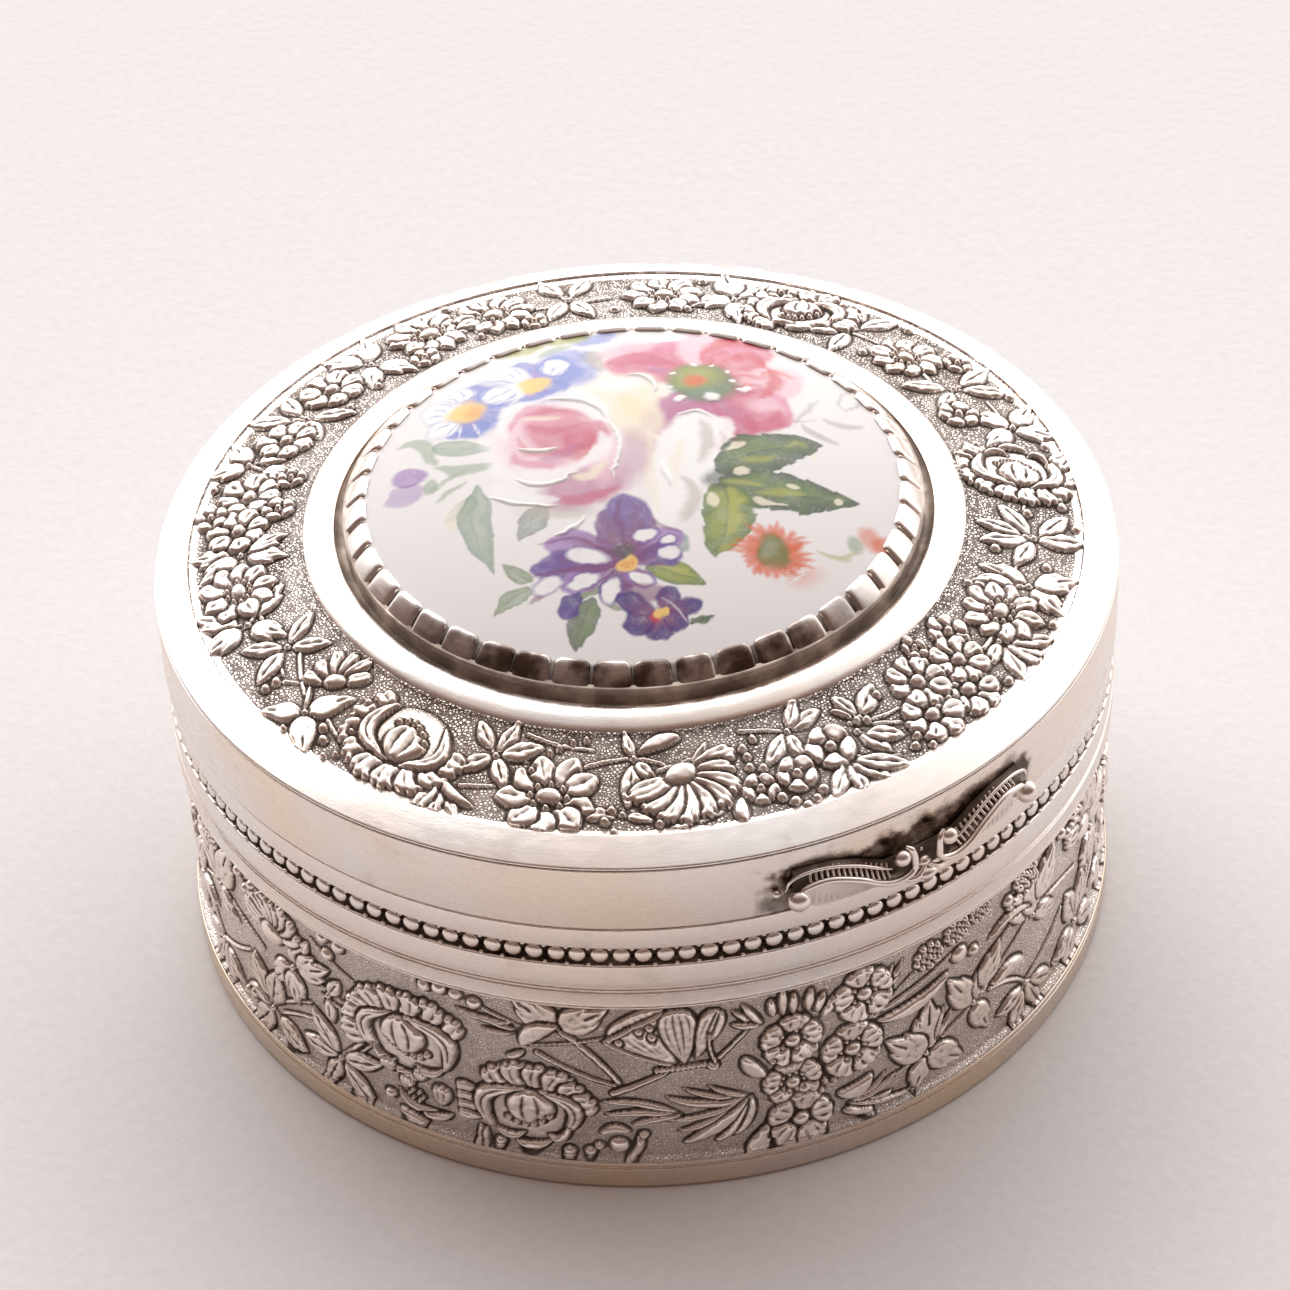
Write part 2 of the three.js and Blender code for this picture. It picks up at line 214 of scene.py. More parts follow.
def notched(piece, low, high):
    """Cuts the block between two corners (mm) out of a piece."""
    corners = [[x, y, z] for x in (low[0], high[0]) for y in (low[1], high[1])
               for z in (low[2], high[2])]
    faces = [(0, 1, 3, 2), (4, 6, 7, 5), (0, 4, 5, 1), (2, 3, 7, 6), (0, 2, 6, 4), (1, 5, 7, 3)]
    mesh = bpy.data.meshes.new("cutter")
    mesh.from_pydata((np.array(corners) * MM).tolist(), [], faces)
    cutter = new_object("cutter", mesh)
    modifier = piece.modifiers.new("notch", "BOOLEAN")
    modifier.object = cutter
    modifier.operation = "DIFFERENCE"
    bpy.context.view_layer.update()
    evaluated = piece.evaluated_get(bpy.context.evaluated_depsgraph_get())
    cut = bpy.data.meshes.new_from_object(evaluated)
    piece.modifiers.clear()
    piece.data = cut
    bpy.data.objects.remove(cutter)


def hinge_notch(piece, top_z=HINGE.z + NOTCH_HALF_HEIGHT):
    """Makes room for the hinge at the back of a piece."""
    notched(piece, (-NOTCH_HALF_WIDTH, 0.0, HINGE.z - NOTCH_HALF_HEIGHT),
            (NOTCH_HALF_WIDTH, LID_RADIUS + 2, top_z))


class Shapes:
    """Collects rods, balls and sheets into the points and faces of one mesh."""

    def __init__(self):
        self.points, self.faces = [], []

    def add(self, points, faces):
        start = len(self.points)
        self.points.extend(points)
        self.faces.extend(tuple(start + corner for corner in face) for face in faces)

    def tube(self, rings, tips=None):
        """Joins equal rings of points one to the next. The ends close flat, or to two tips."""
        count = len(rings[0])
        last = (len(rings) - 1) * count
        points = [point for ring in rings for point in ring]
        faces = grid_faces(len(rings), count).tolist()
        if tips is None:
            faces += [tuple(reversed(range(count))), tuple(range(last, last + count))]
        else:
            points += tips
            for index in range(count):
                following = (index + 1) % count
                faces.append((len(points) - 2, following, index))
                faces.append((len(points) - 1, last + index, last + following))
        self.add(points, faces)

    def ball(self, centre, first, second, pole, rings=9, segments=14, pointed=False):
        """An ellipsoid with three half axes given as vectors, its poles flat or pointed."""
        levels = np.arange(1, rings) if pointed else np.arange(rings) + 0.5
        turns = 2 * np.pi * np.arange(segments) / segments
        circles = [[centre - pole * math.cos(level)
                    + (first * math.cos(turn) + second * math.sin(turn)) * math.sin(level)
                    for turn in turns] for level in np.pi * levels / rings]
        self.tube(circles, [centre - pole, centre + pole] if pointed else None)

    def rod(self, path, radii, sides=12):
        """A round bar along a path, with a radius at every point of it."""
        path = [np.array(point, float) for point in path]
        rings = []
        for index, point in enumerate(path):
            ahead = path[min(index + 1, len(path) - 1)] - path[max(index - 1, 0)]
            ahead /= np.linalg.norm(ahead)
            across = np.cross(ahead, (point[0], point[1], 0))
            across /= np.linalg.norm(across)
            up = np.cross(across, ahead)
            rings.append([point + radii[index] * (across * math.cos(turn) + up * math.sin(turn))
                          for turn in np.linspace(0, 2 * math.pi, sides, endpoint=False)])
        self.tube(rings)


# ---------- materials ----------
class Look:
    """A node tree with short ways to build it. Every input is a value or another's socket."""

    def __init__(self, tree):
        self.nodes, self.links = tree.nodes, tree.links

    def plug(self, node, inputs):
        for name, value in inputs.items():
            if isinstance(value, bpy.types.NodeSocket):
                self.links.new(value, node.inputs[name])
            elif isinstance(value, tuple) and node.inputs[name].type == "RGBA":
                node.inputs[name].default_value = (*value, 1)
            else:
                node.inputs[name].default_value = value

    def node(self, kind, inputs, **settings):
        made = self.nodes.new("ShaderNode" + kind)
        for name, value in settings.items():
            setattr(made, name, value)
        self.plug(made, inputs)
        return made

    def surface(self, **inputs):
        """Sets the shader's inputs: base_color stands for Base Color, and so on."""
        titles = {name: name.replace("_", " ").title().replace("Ior", "IOR") for name in inputs}
        self.plug(self.nodes["Principled BSDF"], {titles[name]: inputs[name] for name in inputs})

    def coords(self, output="Object"):
        return self.node("TexCoord", {}).outputs[output]

    def noise(self, scale, detail=4.0, stretch=(1, 1, 1)):
        mapped = self.node("Mapping", {"Vector": self.coords(), "Scale": stretch})
        texture = self.node("TexNoise", {"Vector": mapped.outputs["Vector"], "Scale": scale,
                                         "Detail": detail, "Roughness": 0.55})
        return texture.outputs["Fac"]

    def blend(self, factor, first, second):
        mix = self.node("Mix", {"Factor": factor, "A": first, "B": second}, data_type="RGBA")
        return mix.outputs["Result"]

    def ramp(self, source, low, high, start=0.0, end=1.0):
        """A smooth change from one number or colour to another as source goes from start to end."""
        if isinstance(low, tuple):
            return self.blend(self.ramp(source, 0.0, 1.0, start, end), low, high)
        ranged = self.node("MapRange", {"Value": source, "From Min": start, "From Max": end,
                                        "To Min": low, "To Max": high},
                           interpolation_type="SMOOTHSTEP", clamp=True)
        return ranged.outputs["Result"]

    def maths(self, operation, first, *others):
        """One operation on two sockets or numbers, or on more of them one after the other."""
        for other in others:
            first = self.node("Math", {0: first, 1: other}, operation=operation).outputs["Value"]
        return first

    def dot(self, vector, direction):
        return self.node("VectorMath", {0: vector, 1: direction},
                         operation="DOT_PRODUCT").outputs["Value"]

    def attribute(self, name, output="Fac"):
        return self.node("Attribute", {}, attribute_name=name).outputs[output]

    def bump(self, height, distance, strength=1.0, under=None):
        inputs = {"Height": height, "Distance": distance, "Strength": strength}
        if under is not None:
            inputs["Normal"] = under
        return self.node("Bump", inputs).outputs["Normal"]


def material(name):
    made = bpy.data.materials.new(name)
    made.use_nodes = True
    return made, Look(made.node_tree)


SILVER_COOL = (0.83, 0.765, 0.735)
SILVER_WARM = (0.84, 0.72, 0.635)
SILVER_RUBBED = (0.95, 0.855, 0.80)
TARNISH = (0.52, 0.44, 0.36)
OXIDE = (0.080, 0.047, 0.033)
GOLD_WARM = (0.93, 0.70, 0.36)
GOLD_PALE = (0.95, 0.79, 0.50)
GRAIN_PITCH = 0.17                      # the punched ground, grain to grain


def toward_front():
    """The direction from the box to the side where the layouts' angles start."""
    return (math.sin(math.radians(FRONT)), -math.cos(math.radians(FRONT)), 0)


def thumb_oxide_and_shade(look):
    """Darkening on the rim over and between the scrolls: oxide where polishing can't reach, and
    painted shade on the rim behind the thumbpiece.
    """
    place = look.node("SeparateXYZ", {"Vector": look.coords()}).outputs
    ragged = look.ramp(look.noise(700, 4), -0.6 * MM, 0.6 * MM, 0.3, 0.7)
    sideways = look.maths("ADD", look.maths("ABSOLUTE", place["X"], 0.0), ragged)
    height = look.maths("ADD", place["Z"], ragged)
    within = look.ramp(sideways, 1.0, 0.0, 7.0 * MM, 8.0 * MM)
    under = look.ramp(height, 1.0, 0.0, 19.6 * MM, 20.7 * MM)
    front = look.ramp(place["Y"], 1.0, 0.0, -12 * MM, -10 * MM)
    return look.maths("MULTIPLY", within, under, front,
                      look.ramp(look.noise(900, 4), 0.7, 1.0, 0.3, 0.6))


def tab_tarnish_and_front_shade(look):
    """Blotchy brown tarnish on the bezel's tabs, and painted shade that darkens them along the
    front of the plaque, the side that faces the camera.
    """
    forward = look.dot(look.coords(), toward_front())
    return look.maths("MULTIPLY", look.ramp(forward, 0.0, 1.0, 6.0 * MM, 12.5 * MM),
                      look.ramp(look.noise(480, 5), 0.3, 0.95, 0.36, 0.6))


def plain_silver(name="silver_plain", cool=SILVER_COOL, warm=SILVER_WARM, gloss=0.2, stain=None):
    """Polished silver with warm and cool patches, faint tarnish and fine wiping marks."""
    made, look = material(name)
    tarnish = look.ramp(look.noise(420, 6), 0.0, 0.35, 0.58, 0.78)
    colour = look.blend(tarnish, look.ramp(look.noise(90, 3), cool, warm, 0.35, 0.7), TARNISH)
    # A stain mask blends oxide colour in: real oxide, and painted shade behind the thumbpiece and
    # on the front tabs.
    if stain:
        colour = look.blend(stain(look), colour, OXIDE)
    streaks = look.noise(700, 3, (1, 1, 9))
    dents = look.bump(look.noise(160, 2), 0.16 * MM, 0.35)
    look.surface(base_color=colour, metallic=1.0,
                 roughness=look.ramp(streaks, gloss - 0.05, gloss + 0.13, 0.3, 0.7),
                 normal=look.bump(look.noise(2600, 3, (1, 1, 12)), 0.012 * MM, 0.5, dents))
    return made


def chased_silver(name="silver_chased", gap_oxide=0.85):
    """Relief silver: bright where it is rubbed, oxidised in the hollows, grained on the ground.
    The meshes carry the attributes hollow (0 to 1) and ground (0 to 1). gap_oxide is how dark
    the gaps between the ground's grains are."""
    made, look = material(name)
    grain = look.node("TexVoronoi", {"Vector": look.coords(), "Scale": 1 / (GRAIN_PITCH * MM),
                                     "Randomness": 0.85}, feature="DISTANCE_TO_EDGE")
    pits = look.ramp(grain.outputs["Distance"], 1.0, 0.0, 0.05, 0.26)
    pitted = look.maths("MULTIPLY", pits, look.attribute("ground"))
    dark = look.maths("MAXIMUM", look.attribute("hollow"),
                      look.maths("MULTIPLY", pitted, gap_oxide))
    patina = look.maths("MULTIPLY", dark, look.ramp(look.noise(500, 5), 0.86, 1.15, 0.3, 0.7))
    silver = look.ramp(look.noise(110, 3), SILVER_RUBBED, SILVER_WARM, 0.4, 0.7)
    wear = look.ramp(look.noise(900, 4), 0.2, 0.36, 0.35, 0.7)
    chased = look.bump(pitted, -0.06 * MM)
    look.surface(base_color=look.blend(patina, silver, OXIDE),
                 metallic=look.ramp(patina, 1.0, 0.35),
                 roughness=look.maths("ADD", wear, look.maths("MULTIPLY", patina, 0.3)),
                 normal=look.bump(look.noise(2500, 3), 0.012 * MM, 0.5, chased))
    return made


def dark_silver(name="silver_dark", deep=OXIDE, light=(0.30, 0.25, 0.21)):
    """Silver left oxidised, in the bead channel and the gutter round the plaque; in the gutter the
    dark colour is oxide and painted shade.
    """
    made, look = material(name)
    stain = look.noise(600, 6)
    look.surface(base_color=look.ramp(stain, deep, light, 0.35, 0.75),
                 metallic=look.ramp(stain, 0.5, 0.9),
                 roughness=look.ramp(look.noise(900, 4), 0.42, 0.65, 0.3, 0.7),
                 normal=look.bump(look.noise(1800, 4), 0.03 * MM, 0.6))
    return made


def gilding():
    """Fire-gilt lining: satin gold, a little worn."""
    made, look = material("gilding")
    look.surface(base_color=look.ramp(look.noise(120, 4), GOLD_WARM, GOLD_PALE, 0.2, 0.85),
                 metallic=1.0,
                 roughness=look.ramp(look.noise(800, 4), 0.2, 0.36, 0.3, 0.7),
                 normal=look.bump(look.noise(1500, 3, (1, 1, 8)), 0.02 * MM, 0.5))
    return made


def glazed_porcelain():
    """White glazed porcelain; the mesh carries the enamel colours in the attribute paint."""
    made, look = material("painted_porcelain")
    speck = look.ramp(look.noise(1200, 3), 0.0, 0.06, 0.45, 0.75)
    paint = look.attribute("paint", "Color")
    look.surface(base_color=look.blend(speck, paint, (0.80, 0.76, 0.74)), roughness=0.22,
                 coat_weight=0.25, coat_roughness=0.03, specular_ior_level=0.1,
                 normal=look.bump(look.noise(260, 2), 0.04 * MM, 0.4))
    return made


def paper():
    """Pale paper with fine fibres, for the floor."""
    made, look = material("paper_floor")
    fibres = look.noise(1500, 4)
    look.surface(base_color=look.ramp(fibres, (0.79, 0.762, 0.757), (0.82, 0.792, 0.787), 0.3, 0.7),
                 roughness=0.9, normal=look.bump(fibres, 0.1 * MM, 0.3))
    return made


PLAIN = plain_silver()
CAST = plain_silver("silver_cast", gloss=0.16)
# The tabs' silver: blotchy tarnish, and painted shade on the tabs that face the camera.
TAB_SILVER = plain_silver("silver_tabs", gloss=0.13, stain=tab_tarnish_and_front_shade)
CHASED = chased_silver()
CHASED_SIDE = chased_silver("silver_chased_side", gap_oxide=0.32)
# The foot band's silver is darker and browner than the rest: painted shade and a painted warm
# reflection of the shadowed floor in front of it.
FOOT_PAINTED_SHADE = plain_silver("silver_foot_painted_shade", (0.68, 0.58, 0.51), (0.74, 0.58, 0.42))
DARK = dark_silver()
# The gutter's silver: oxide, and painted shade in the recess round the plaque.
GUTTER_OXIDE_AND_SHADE = dark_silver("silver_gutter_oxide_and_shade", (0.30, 0.24, 0.20), (0.66, 0.56, 0.48))
# The rim's warm patches are a painted warm reflection; round the thumbpiece its colour also carries
# oxide and painted shade.
RIM = plain_silver("silver_rim_painted_reflection", warm=(0.84, 0.70, 0.57), stain=thumb_oxide_and_shade)
GILT = gilding()
PORCELAIN = glazed_porcelain()


# ---------- turned pieces of the base ----------
def add_bottom_plate():
    """The base plate, slightly dished like a spun disc."""
    radius, thick = reach("bottom_plate"), top("bottom_plate")
    corners = [(0, 0.12, 0), (radius - 2.4, 0.12, 0.3), (radius - 1.9, 0, 0.3), (radius, 0, 0.15),
               (radius, thick, 0.1), (0, thick, 0)]
    turned_piece("bottom_plate", corners, PLAIN, "base", ["bottom_plate"])


def add_foot():
    """The plain band round the foot, with a fine groove near its top."""
    outer, height = reach("foot_ring"), top("foot_ring")
    corners = [(WALL_INNER, 0, 0), (outer, 0, 0.35), (outer, height - 0.42, 0.08),
               (outer - 0.07, height - 0.36, 0.03), (outer - 0.07, height - 0.3, 0.03),
               (outer + 0.02, height - 0.2, 0.1), (outer - 0.02, height, 0.08),
               (WALL_INNER, height, 0)]
    # The foot band's darker, browner silver is painted shade and a painted reflection.
    turned_piece("foot_band", corners, FOOT_PAINTED_SHADE, "base", ["foot_ring"])


def raised_line(radius, z, height=0.07, half=0.09):
    """Corners of a fine half-round line on a wall, going up."""
    return [(radius, z - half, 0.03), (radius + height, z - half * 0.4, 0.04),
            (radius + height, z + half * 0.4, 0.04), (radius, z + half, 0.03)]


def add_upper_band():
    """The plain band over the flowers: a border line, then two fine lines and a flat."""
    low, high = bottom("upper_band"), top("upper_band")
    corners = [(WALL_INNER, low, 0), (BASE_RADIUS - 0.06, low, 0.05),
               (BASE_RADIUS + 0.03, low + 0.1, 0.06), (BASE_RADIUS - 0.05, low + 0.24, 0.05)]
    for z in FINE_LINES:
        corners += raised_line(BASE_RADIUS - 0.04, z)
    corners += [(BASE_RADIUS, FINE_LINES[-1] + 0.38, 0.2), (BASE_RADIUS, high, 0.12),
                (WALL_INNER, high, 0)]
    turned_piece("upper_band", corners, PLAIN, "base", ["upper_band"])


def add_mouth_ring():
    """The plain band over the beads, and the dark channel behind them."""
    low, high = bottom("mouth_ring"), top("mouth_ring")
    back = WALL_INNER + 0.2
    corners = [(WALL_INNER, CHANNEL_TOP, 0), (back, CHANNEL_TOP, 0),
               (BASE_RADIUS, CHANNEL_TOP, 0.12), (BASE_RADIUS, high, 0.1),
               (WALL_INNER, high, 0.05)]
    hinge_notch(turned_piece("mouth_ring", corners, PLAIN, "base",
                             ["mouth_ring"]))
    corners = [(WALL_INNER, low, 0), (back, low, 0), (back, CHANNEL_TOP - 0.01, 0),
               (WALL_INNER, CHANNEL_TOP - 0.01, 0)]
    turned_piece("bead_channel", corners, DARK, "base")


def add_beads():
    """The beaded wire: a row of oval beads with a fine dot over and under each gap."""
    shapes = Shapes()

    def bead(angle, radius, z, sizes, rings, segments):
        along, out = on_ring(1, angle + math.pi / 2, 0), on_ring(1, angle, 0)
        shapes.ball(on_ring(radius, angle, z), along * sizes[0], out * sizes[1],
                    np.array((0, 0, sizes[2])), rings, segments, pointed=True)

    for index in range(BEADS):
        angle = 2 * math.pi * index / BEADS
        wobble = RNG.normal(0, 1, 3)
        bead(angle + 0.0006 * wobble[0], BASE_RADIUS - 0.22,
             (CHANNEL_BOTTOM + CHANNEL_TOP) / 2 + 0.008 * wobble[1],
             (0.45 + 0.008 * wobble[2], 0.22, 0.43), 8, 12)
        for z in (CHANNEL_BOTTOM, CHANNEL_TOP):
            bead(angle + math.pi / BEADS, BASE_RADIUS - 0.12, z, (0.12, 0.14, 0.11), 6, 8)
    new_piece("bead_wire", shapes.points, shapes.faces, PLAIN, "base",
              ["bead_wire"], sharp=0)


def add_liner():
    """The gilt cup inside: floor with a soft fillet, wall, and a collar that guides the lid."""
    low, high = bottom("liner_wall"), top("liner_wall")
    corners = [(LINER_INNER, low, 0), (LINER_OUTER, low, 0), (LINER_OUTER, high, 0.2),
               (LINER_INNER, high, 0.15)]
    wall = turned_piece("liner_wall", corners, GILT, "base", ["liner_wall"])
    hinge_notch(wall, top_z=high + 1)
    low, high, radius = bottom("liner_floor"), top("liner_floor"), reach("liner_floor")
    corners = [(0, low, 0), (radius, low, 0), (radius, high + 0.5, 0.2),
               (radius - 0.12, high + 0.5, 0.05), (radius - 0.15, high, 0.45), (0, high, 0)]
    turned_piece("liner_floor", corners, GILT, "base", ["liner_floor"])


# ---------- turned pieces of the lid ----------
def add_lid_rim():
    """The lid's vertical band, and the dark hairline of the joint over it."""
    low, high = bottom("lid_rim"), top("lid_rim")
    inner, step = LID_RADIUS - 0.9, LID_RADIUS - 0.13
    corners = [(inner, low, 0.1), (LID_RADIUS, low, 0.12), (LID_RADIUS, LID_JOINT, 0.05),
               (step, LID_JOINT, 0), (step, high, 0), (inner, high, 0)]
    rim = turned_piece("lid_rim", corners, RIM, "lid", ["lid_rim"])
    corners = [(LID_RADIUS - 0.12, LID_JOINT + 0.005, 0), (LID_RADIUS - 0.05, LID_JOINT + 0.005, 0),
               (LID_RADIUS - 0.05, LID_JOINT + 0.055, 0), (LID_RADIUS - 0.12, LID_JOINT + 0.055, 0)]
    turned_piece("rim_joint", corners, DARK, "lid")
    hinge_notch(rim)


def lid_slope(radius):
    """Height of the lid's top sheet at a radius, without the relief."""
    return np.interp(radius, (FRAME_OUTER, LID_BORDER, LID_RADIUS),
                     (FRAME_FOOT_Z, RING_EDGE_Z, LID_EDGE_Z))


def add_lid_border():
    """The plain sloping border outside the flowers, with a fine step at the rim."""
    low = bottom("lid_top")
    step = LID_RADIUS - 0.14
    corners = [(LID_BORDER - 0.6, low, 0), (step, low, 0), (step, LID_JOINT + 0.06, 0),
               (LID_RADIUS - 0.03, LID_JOINT + 0.06, 0.03),
               (LID_RADIUS - 0.05, LID_EDGE_Z + 0.05, 0.08),
               (LID_BORDER + 0.05, RING_EDGE_Z + 0.1, 0.04),
               (LID_BORDER, RING_EDGE_Z - 0.04, 0.05), (LID_BORDER - 0.6, RING_EDGE_Z - 0.1, 0)]
    turned_piece("lid_border", corners, PLAIN, "lid")


def add_frame_ring():
    """The smooth convex ring between the flowers and the gutter."""
    low, high = bottom("lid_frame_ring"), top("lid_frame_ring")
    inner = FRAME_OUTER - FRAME_WIDTH
    corners = [(inner, low, 0), (FRAME_OUTER, low, 0), (FRAME_OUTER, FRAME_FOOT_Z - 0.08, 0.04)]
    for t in np.linspace(0.06, 0.94, 9):
        z = FRAME_FOOT_Z + (high - FRAME_FOOT_Z - 0.2) * t + 0.24 * math.sin(math.pi * t) ** 0.8
        corners.append((FRAME_OUTER - FRAME_WIDTH * t, z, 0))
    corners.append((inner, FRAME_FOOT_Z + 0.3, 0.05))
    turned_piece("frame_ring", corners, PLAIN, "lid", ["lid_frame_ring"])


def add_bezel_seat():
    """The plate under the plaque; its outer part is the floor of the dark gutter, whose dark colour
    is oxide and painted shade.
    """
    low, high, radius = bottom("bezel_seat"), top("bezel_seat"), reach("bezel_seat")
    corners = [(0, low, 0), (radius, low, 0), (radius, high + 0.4, 0.1),
               (radius - 0.3, high + 0.12, 0.2), (0, high, 0)]
    turned_piece("bezel_seat", corners, GUTTER_OXIDE_AND_SHADE, "lid", ["bezel_seat"])


def add_lid_lining():
    """The gilt disc inside the lid, with a shallow raised middle."""
    low, high, radius = bottom("lid_lining"), top("lid_lining"), reach("lid_lining")
    corners = [(0, low + 0.16, 0), (radius - 2.2, low + 0.16, 0.4), (radius - 1.6, low, 0.4),
               (radius, low, 0.1), (radius, high, 0.05), (0, high, 0)]
    turned_piece("lid_lining", corners, GILT, "lid", ["lid_lining"])


# ---------- chased relief: the sheet and its forms ----------
class Sheet:
    """A height map in mm over a band that closes on itself: u runs round it, v across it."""

    def __init__(self, length, width):
        self.columns = round(length / RELIEF_STEP)
        self.rows = round(width / RELIEF_STEP) + 1
        self.step = (length / self.columns, width / (self.rows - 1))
        self.length = length
        self.height = np.zeros((self.rows, self.columns))

    def press(self, place, turn, size, form):
        """Raises a form at a point (u, v), turned by some degrees, over what is there already.
        A form gives the distance inside its outline and its height; a groove runs round it."""
        first = np.floor((place - size) / self.step).astype(int)
        last = np.ceil((place + size) / self.step).astype(int)
        columns = np.arange(first[0], last[0] + 1)
        rows = np.arange(max(0, first[1]), min(self.rows - 1, last[1]) + 1)
        if not len(rows):
            return
        x, y = np.meshgrid(columns * self.step[0] - place[0], rows * self.step[1] - place[1])
        window = np.ix_(rows, columns % self.columns)
        edge, height = form(*unturned(x, y, turn))
        groove = np.clip(1 + edge / GROOVE, 0, 1) ** 2
        cut = self.height[window] * (1 - 0.85 * groove) - 0.08 * groove
        self.height[window] = np.where(edge > 0, height, cut)

    def blurred(self, field, sigma):
        mirrored = np.concatenate([field, field[::-1]])
        across = np.fft.fftfreq(mirrored.shape[0], self.step[1])[:, None]
        along = np.fft.fftfreq(mirrored.shape[1], self.step[0])[None, :]
        damping = np.exp(-2 * (np.pi * sigma) ** 2 * (across ** 2 + along ** 2))
        return np.fft.ifft2(np.fft.fft2(mirrored) * damping).real[:len(field)]

    def finish(self, random):
        """Softens the grid's corners and adds the small unevenness of hand work."""
        worked = self.blurred(random.normal(0, 1, self.height.shape), 0.10)
        worked *= 0.010 / worked.std()
        raised = np.clip(self.height / 0.1, 0, 1)
        self.height = self.blurred(self.height, 0.035) + worked * raised

    def hollow(self):
        """From 0 to 1, how sunk each point is among its neighbours: where oxide stays."""
        narrow = (self.blurred(self.height, 0.13) - self.height) / 0.03
        wide = (self.blurred(self.height, 0.35) - self.height) / 0.42
        return np.clip(np.maximum(narrow, wide), 0, 1) ** 0.8

    def ground(self):
        """From 0 to 1, how much each point belongs to the grained ground between the forms."""
        return 1 - np.clip(self.blurred(self.height, 0.05) / 0.05, 0, 1)


def bulge(edge, rim):
    """A rounded rise from an outline, flat once it is rim mm inside."""
    return np.sqrt(np.clip(1 - (1 - np.clip(edge / rim, 0, 1)) ** 2, 0, 1))


def inside(x, y, length, half):
    """Distance inside an outline of a given half width along x, negative outside it."""
    nudge = 0.02
    slope = (half(x + nudge) - half(x - nudge)) / (2 * nudge)
    edge = (half(x) - np.abs(y)) / np.sqrt(1 + slope ** 2)
    edge = np.where(x < 0, -np.hypot(x, y), edge)
    return np.where(x > length, -np.hypot(x - length, y), edge)


def flutes(count, across):
    """From 0 in the grooves to 1 between them, for a form that goes from -1 to 1 across."""
    return np.abs(np.sin(np.pi * count * (across + 1) / 2)) ** 0.7


def petal(length, width, height=0.3, belly=1.3, roundness=0.5, ribs=0, frill=0.0, cup=0.0,
          rim=0.22, rise=0.5):
    """A petal from its base at the origin to its tip on +x. The widest part moves to the tip as
    belly grows; ribs are fine grooves, frill scallops the lip, cup sinks the middle."""
    def half(x):
        t = np.clip(x / length, 0, 1)
        return width / 2 * np.sin(np.pi * t ** belly) ** roundness

    def form(x, y):
        crease = np.abs(np.sin(np.pi * max(ribs, 1) * (y / width + 0.5)))
        x = x * (1 + frill * (1 - crease) ** 2)
        edge = inside(x, y, length, half)
        t = np.clip(x / length, 0, 1)
        across = np.clip(y / np.maximum(half(x), 0.02), -1, 1)
        tall = height * (1 - rise + rise * np.sin(np.pi / 2 * t)) * bulge(edge, rim)
        tall *= 1 - cup * (1 - across ** 2) * np.sin(np.pi * t ** 0.8)
        if ribs > 1:
            tall *= 1 - 0.34 * (1 - flutes(ribs, across))
        return edge, tall
    return form


def leaf(length, width, height=0.26, veins=4):
    """A pointed leaf with a sunk midrib and slanting veins."""
    def half(x):
        return width / 2 * np.sin(np.pi * np.clip(x / length, 0, 1) ** 0.85) ** 0.9

    def form(x, y):
        edge = inside(x, y, length, half)
        t = np.clip(x / length, 0, 1)
        side = np.clip(np.abs(y) / np.maximum(width / 2, 0.02), 0, 1)
        tall = height * (0.7 + 0.3 * t) * bulge(edge, 0.2)
        tall *= 1 - 0.5 * np.exp(-(y / 0.06) ** 2)
        if veins:
            slant = np.abs(np.sin(np.pi * veins * (t - 0.35 * side))) ** 0.6
            tall *= 1 - 0.26 * (1 - slant)
        return edge, tall
    return form


def fingered(length, width, height=0.27, fan=24, fingers=3):
    """A leaf cut into fingers that share one base, each with its own midrib."""
    turns = np.linspace(-fan, fan, fingers)

    def form(x, y):
        edge, tall = np.full(x.shape, -9.0), np.zeros(x.shape)
        for turn in turns:
            share = 1 - 0.26 * abs(turn) / fan
            inner, rise = leaf(length * share, width * 0.62, height, 0)(*unturned(x, y, turn))
            edge, tall = np.maximum(edge, inner), np.maximum(tall, rise)
        return edge, tall
    return form


def boss(radius, height=0.3, stretch=1.0):
    """A berry or button, longer along x by stretch."""
    def form(x, y):
        distance = np.hypot(x / stretch, y)
        return radius - distance, height * bulge(radius - distance, radius)
    return form


def arc(begin, bend, end, count):
    """Points of a smooth arc from begin to end that passes through bend."""
    begin, bend, end = (np.array(point, float) for point in (begin, bend, end))
    control = 2 * bend - (begin + end) / 2
    turns = np.linspace(0, 1, count)[:, None]
    return (1 - turns) ** 2 * begin + 2 * turns * (1 - turns) * control + turns ** 2 * end


def beside(path, x, y):
    """For each piece of a path: how far along the path each place is nearest to it, from 0 to
    1, how far away the place is, and how far to the side."""
    pieces = len(path) - 1
    for index in range(pieces):
        start, step = path[index], path[index + 1] - path[index]
        t = np.clip(((x - start[0]) * step[0] + (y - start[1]) * step[1]) / (step @ step), 0, 1)
        away = (x - start[0] - t * step[0], y - start[1] - t * step[1])
        side = (away[0] * step[1] - away[1] * step[0]) / np.hypot(*step)
        yield (index + t) / pieces, np.hypot(*away), side


def curl(begin, bend, end, width, height=0.3, ribs=0):
    """A curved petal or leaf: a lens swept along an arc from begin by way of bend to end."""
    path = arc(begin, bend, end, 13)

    def form(x, y):
        edge, across = np.full(x.shape, -9.0), np.zeros(x.shape)
        for along, away, side in beside(path, x, y):
            half = width / 2 * np.sin(np.pi * along) ** 0.65
            across = np.where(half - away > edge, side / np.maximum(half, 0.02), across)
            edge = np.maximum(edge, half - away)
        tall = height * bulge(edge, min(0.26, width / 2))
        if ribs:
            tall *= 1 - 0.3 * (1 - flutes(ribs, across))
        return edge, tall
    return form


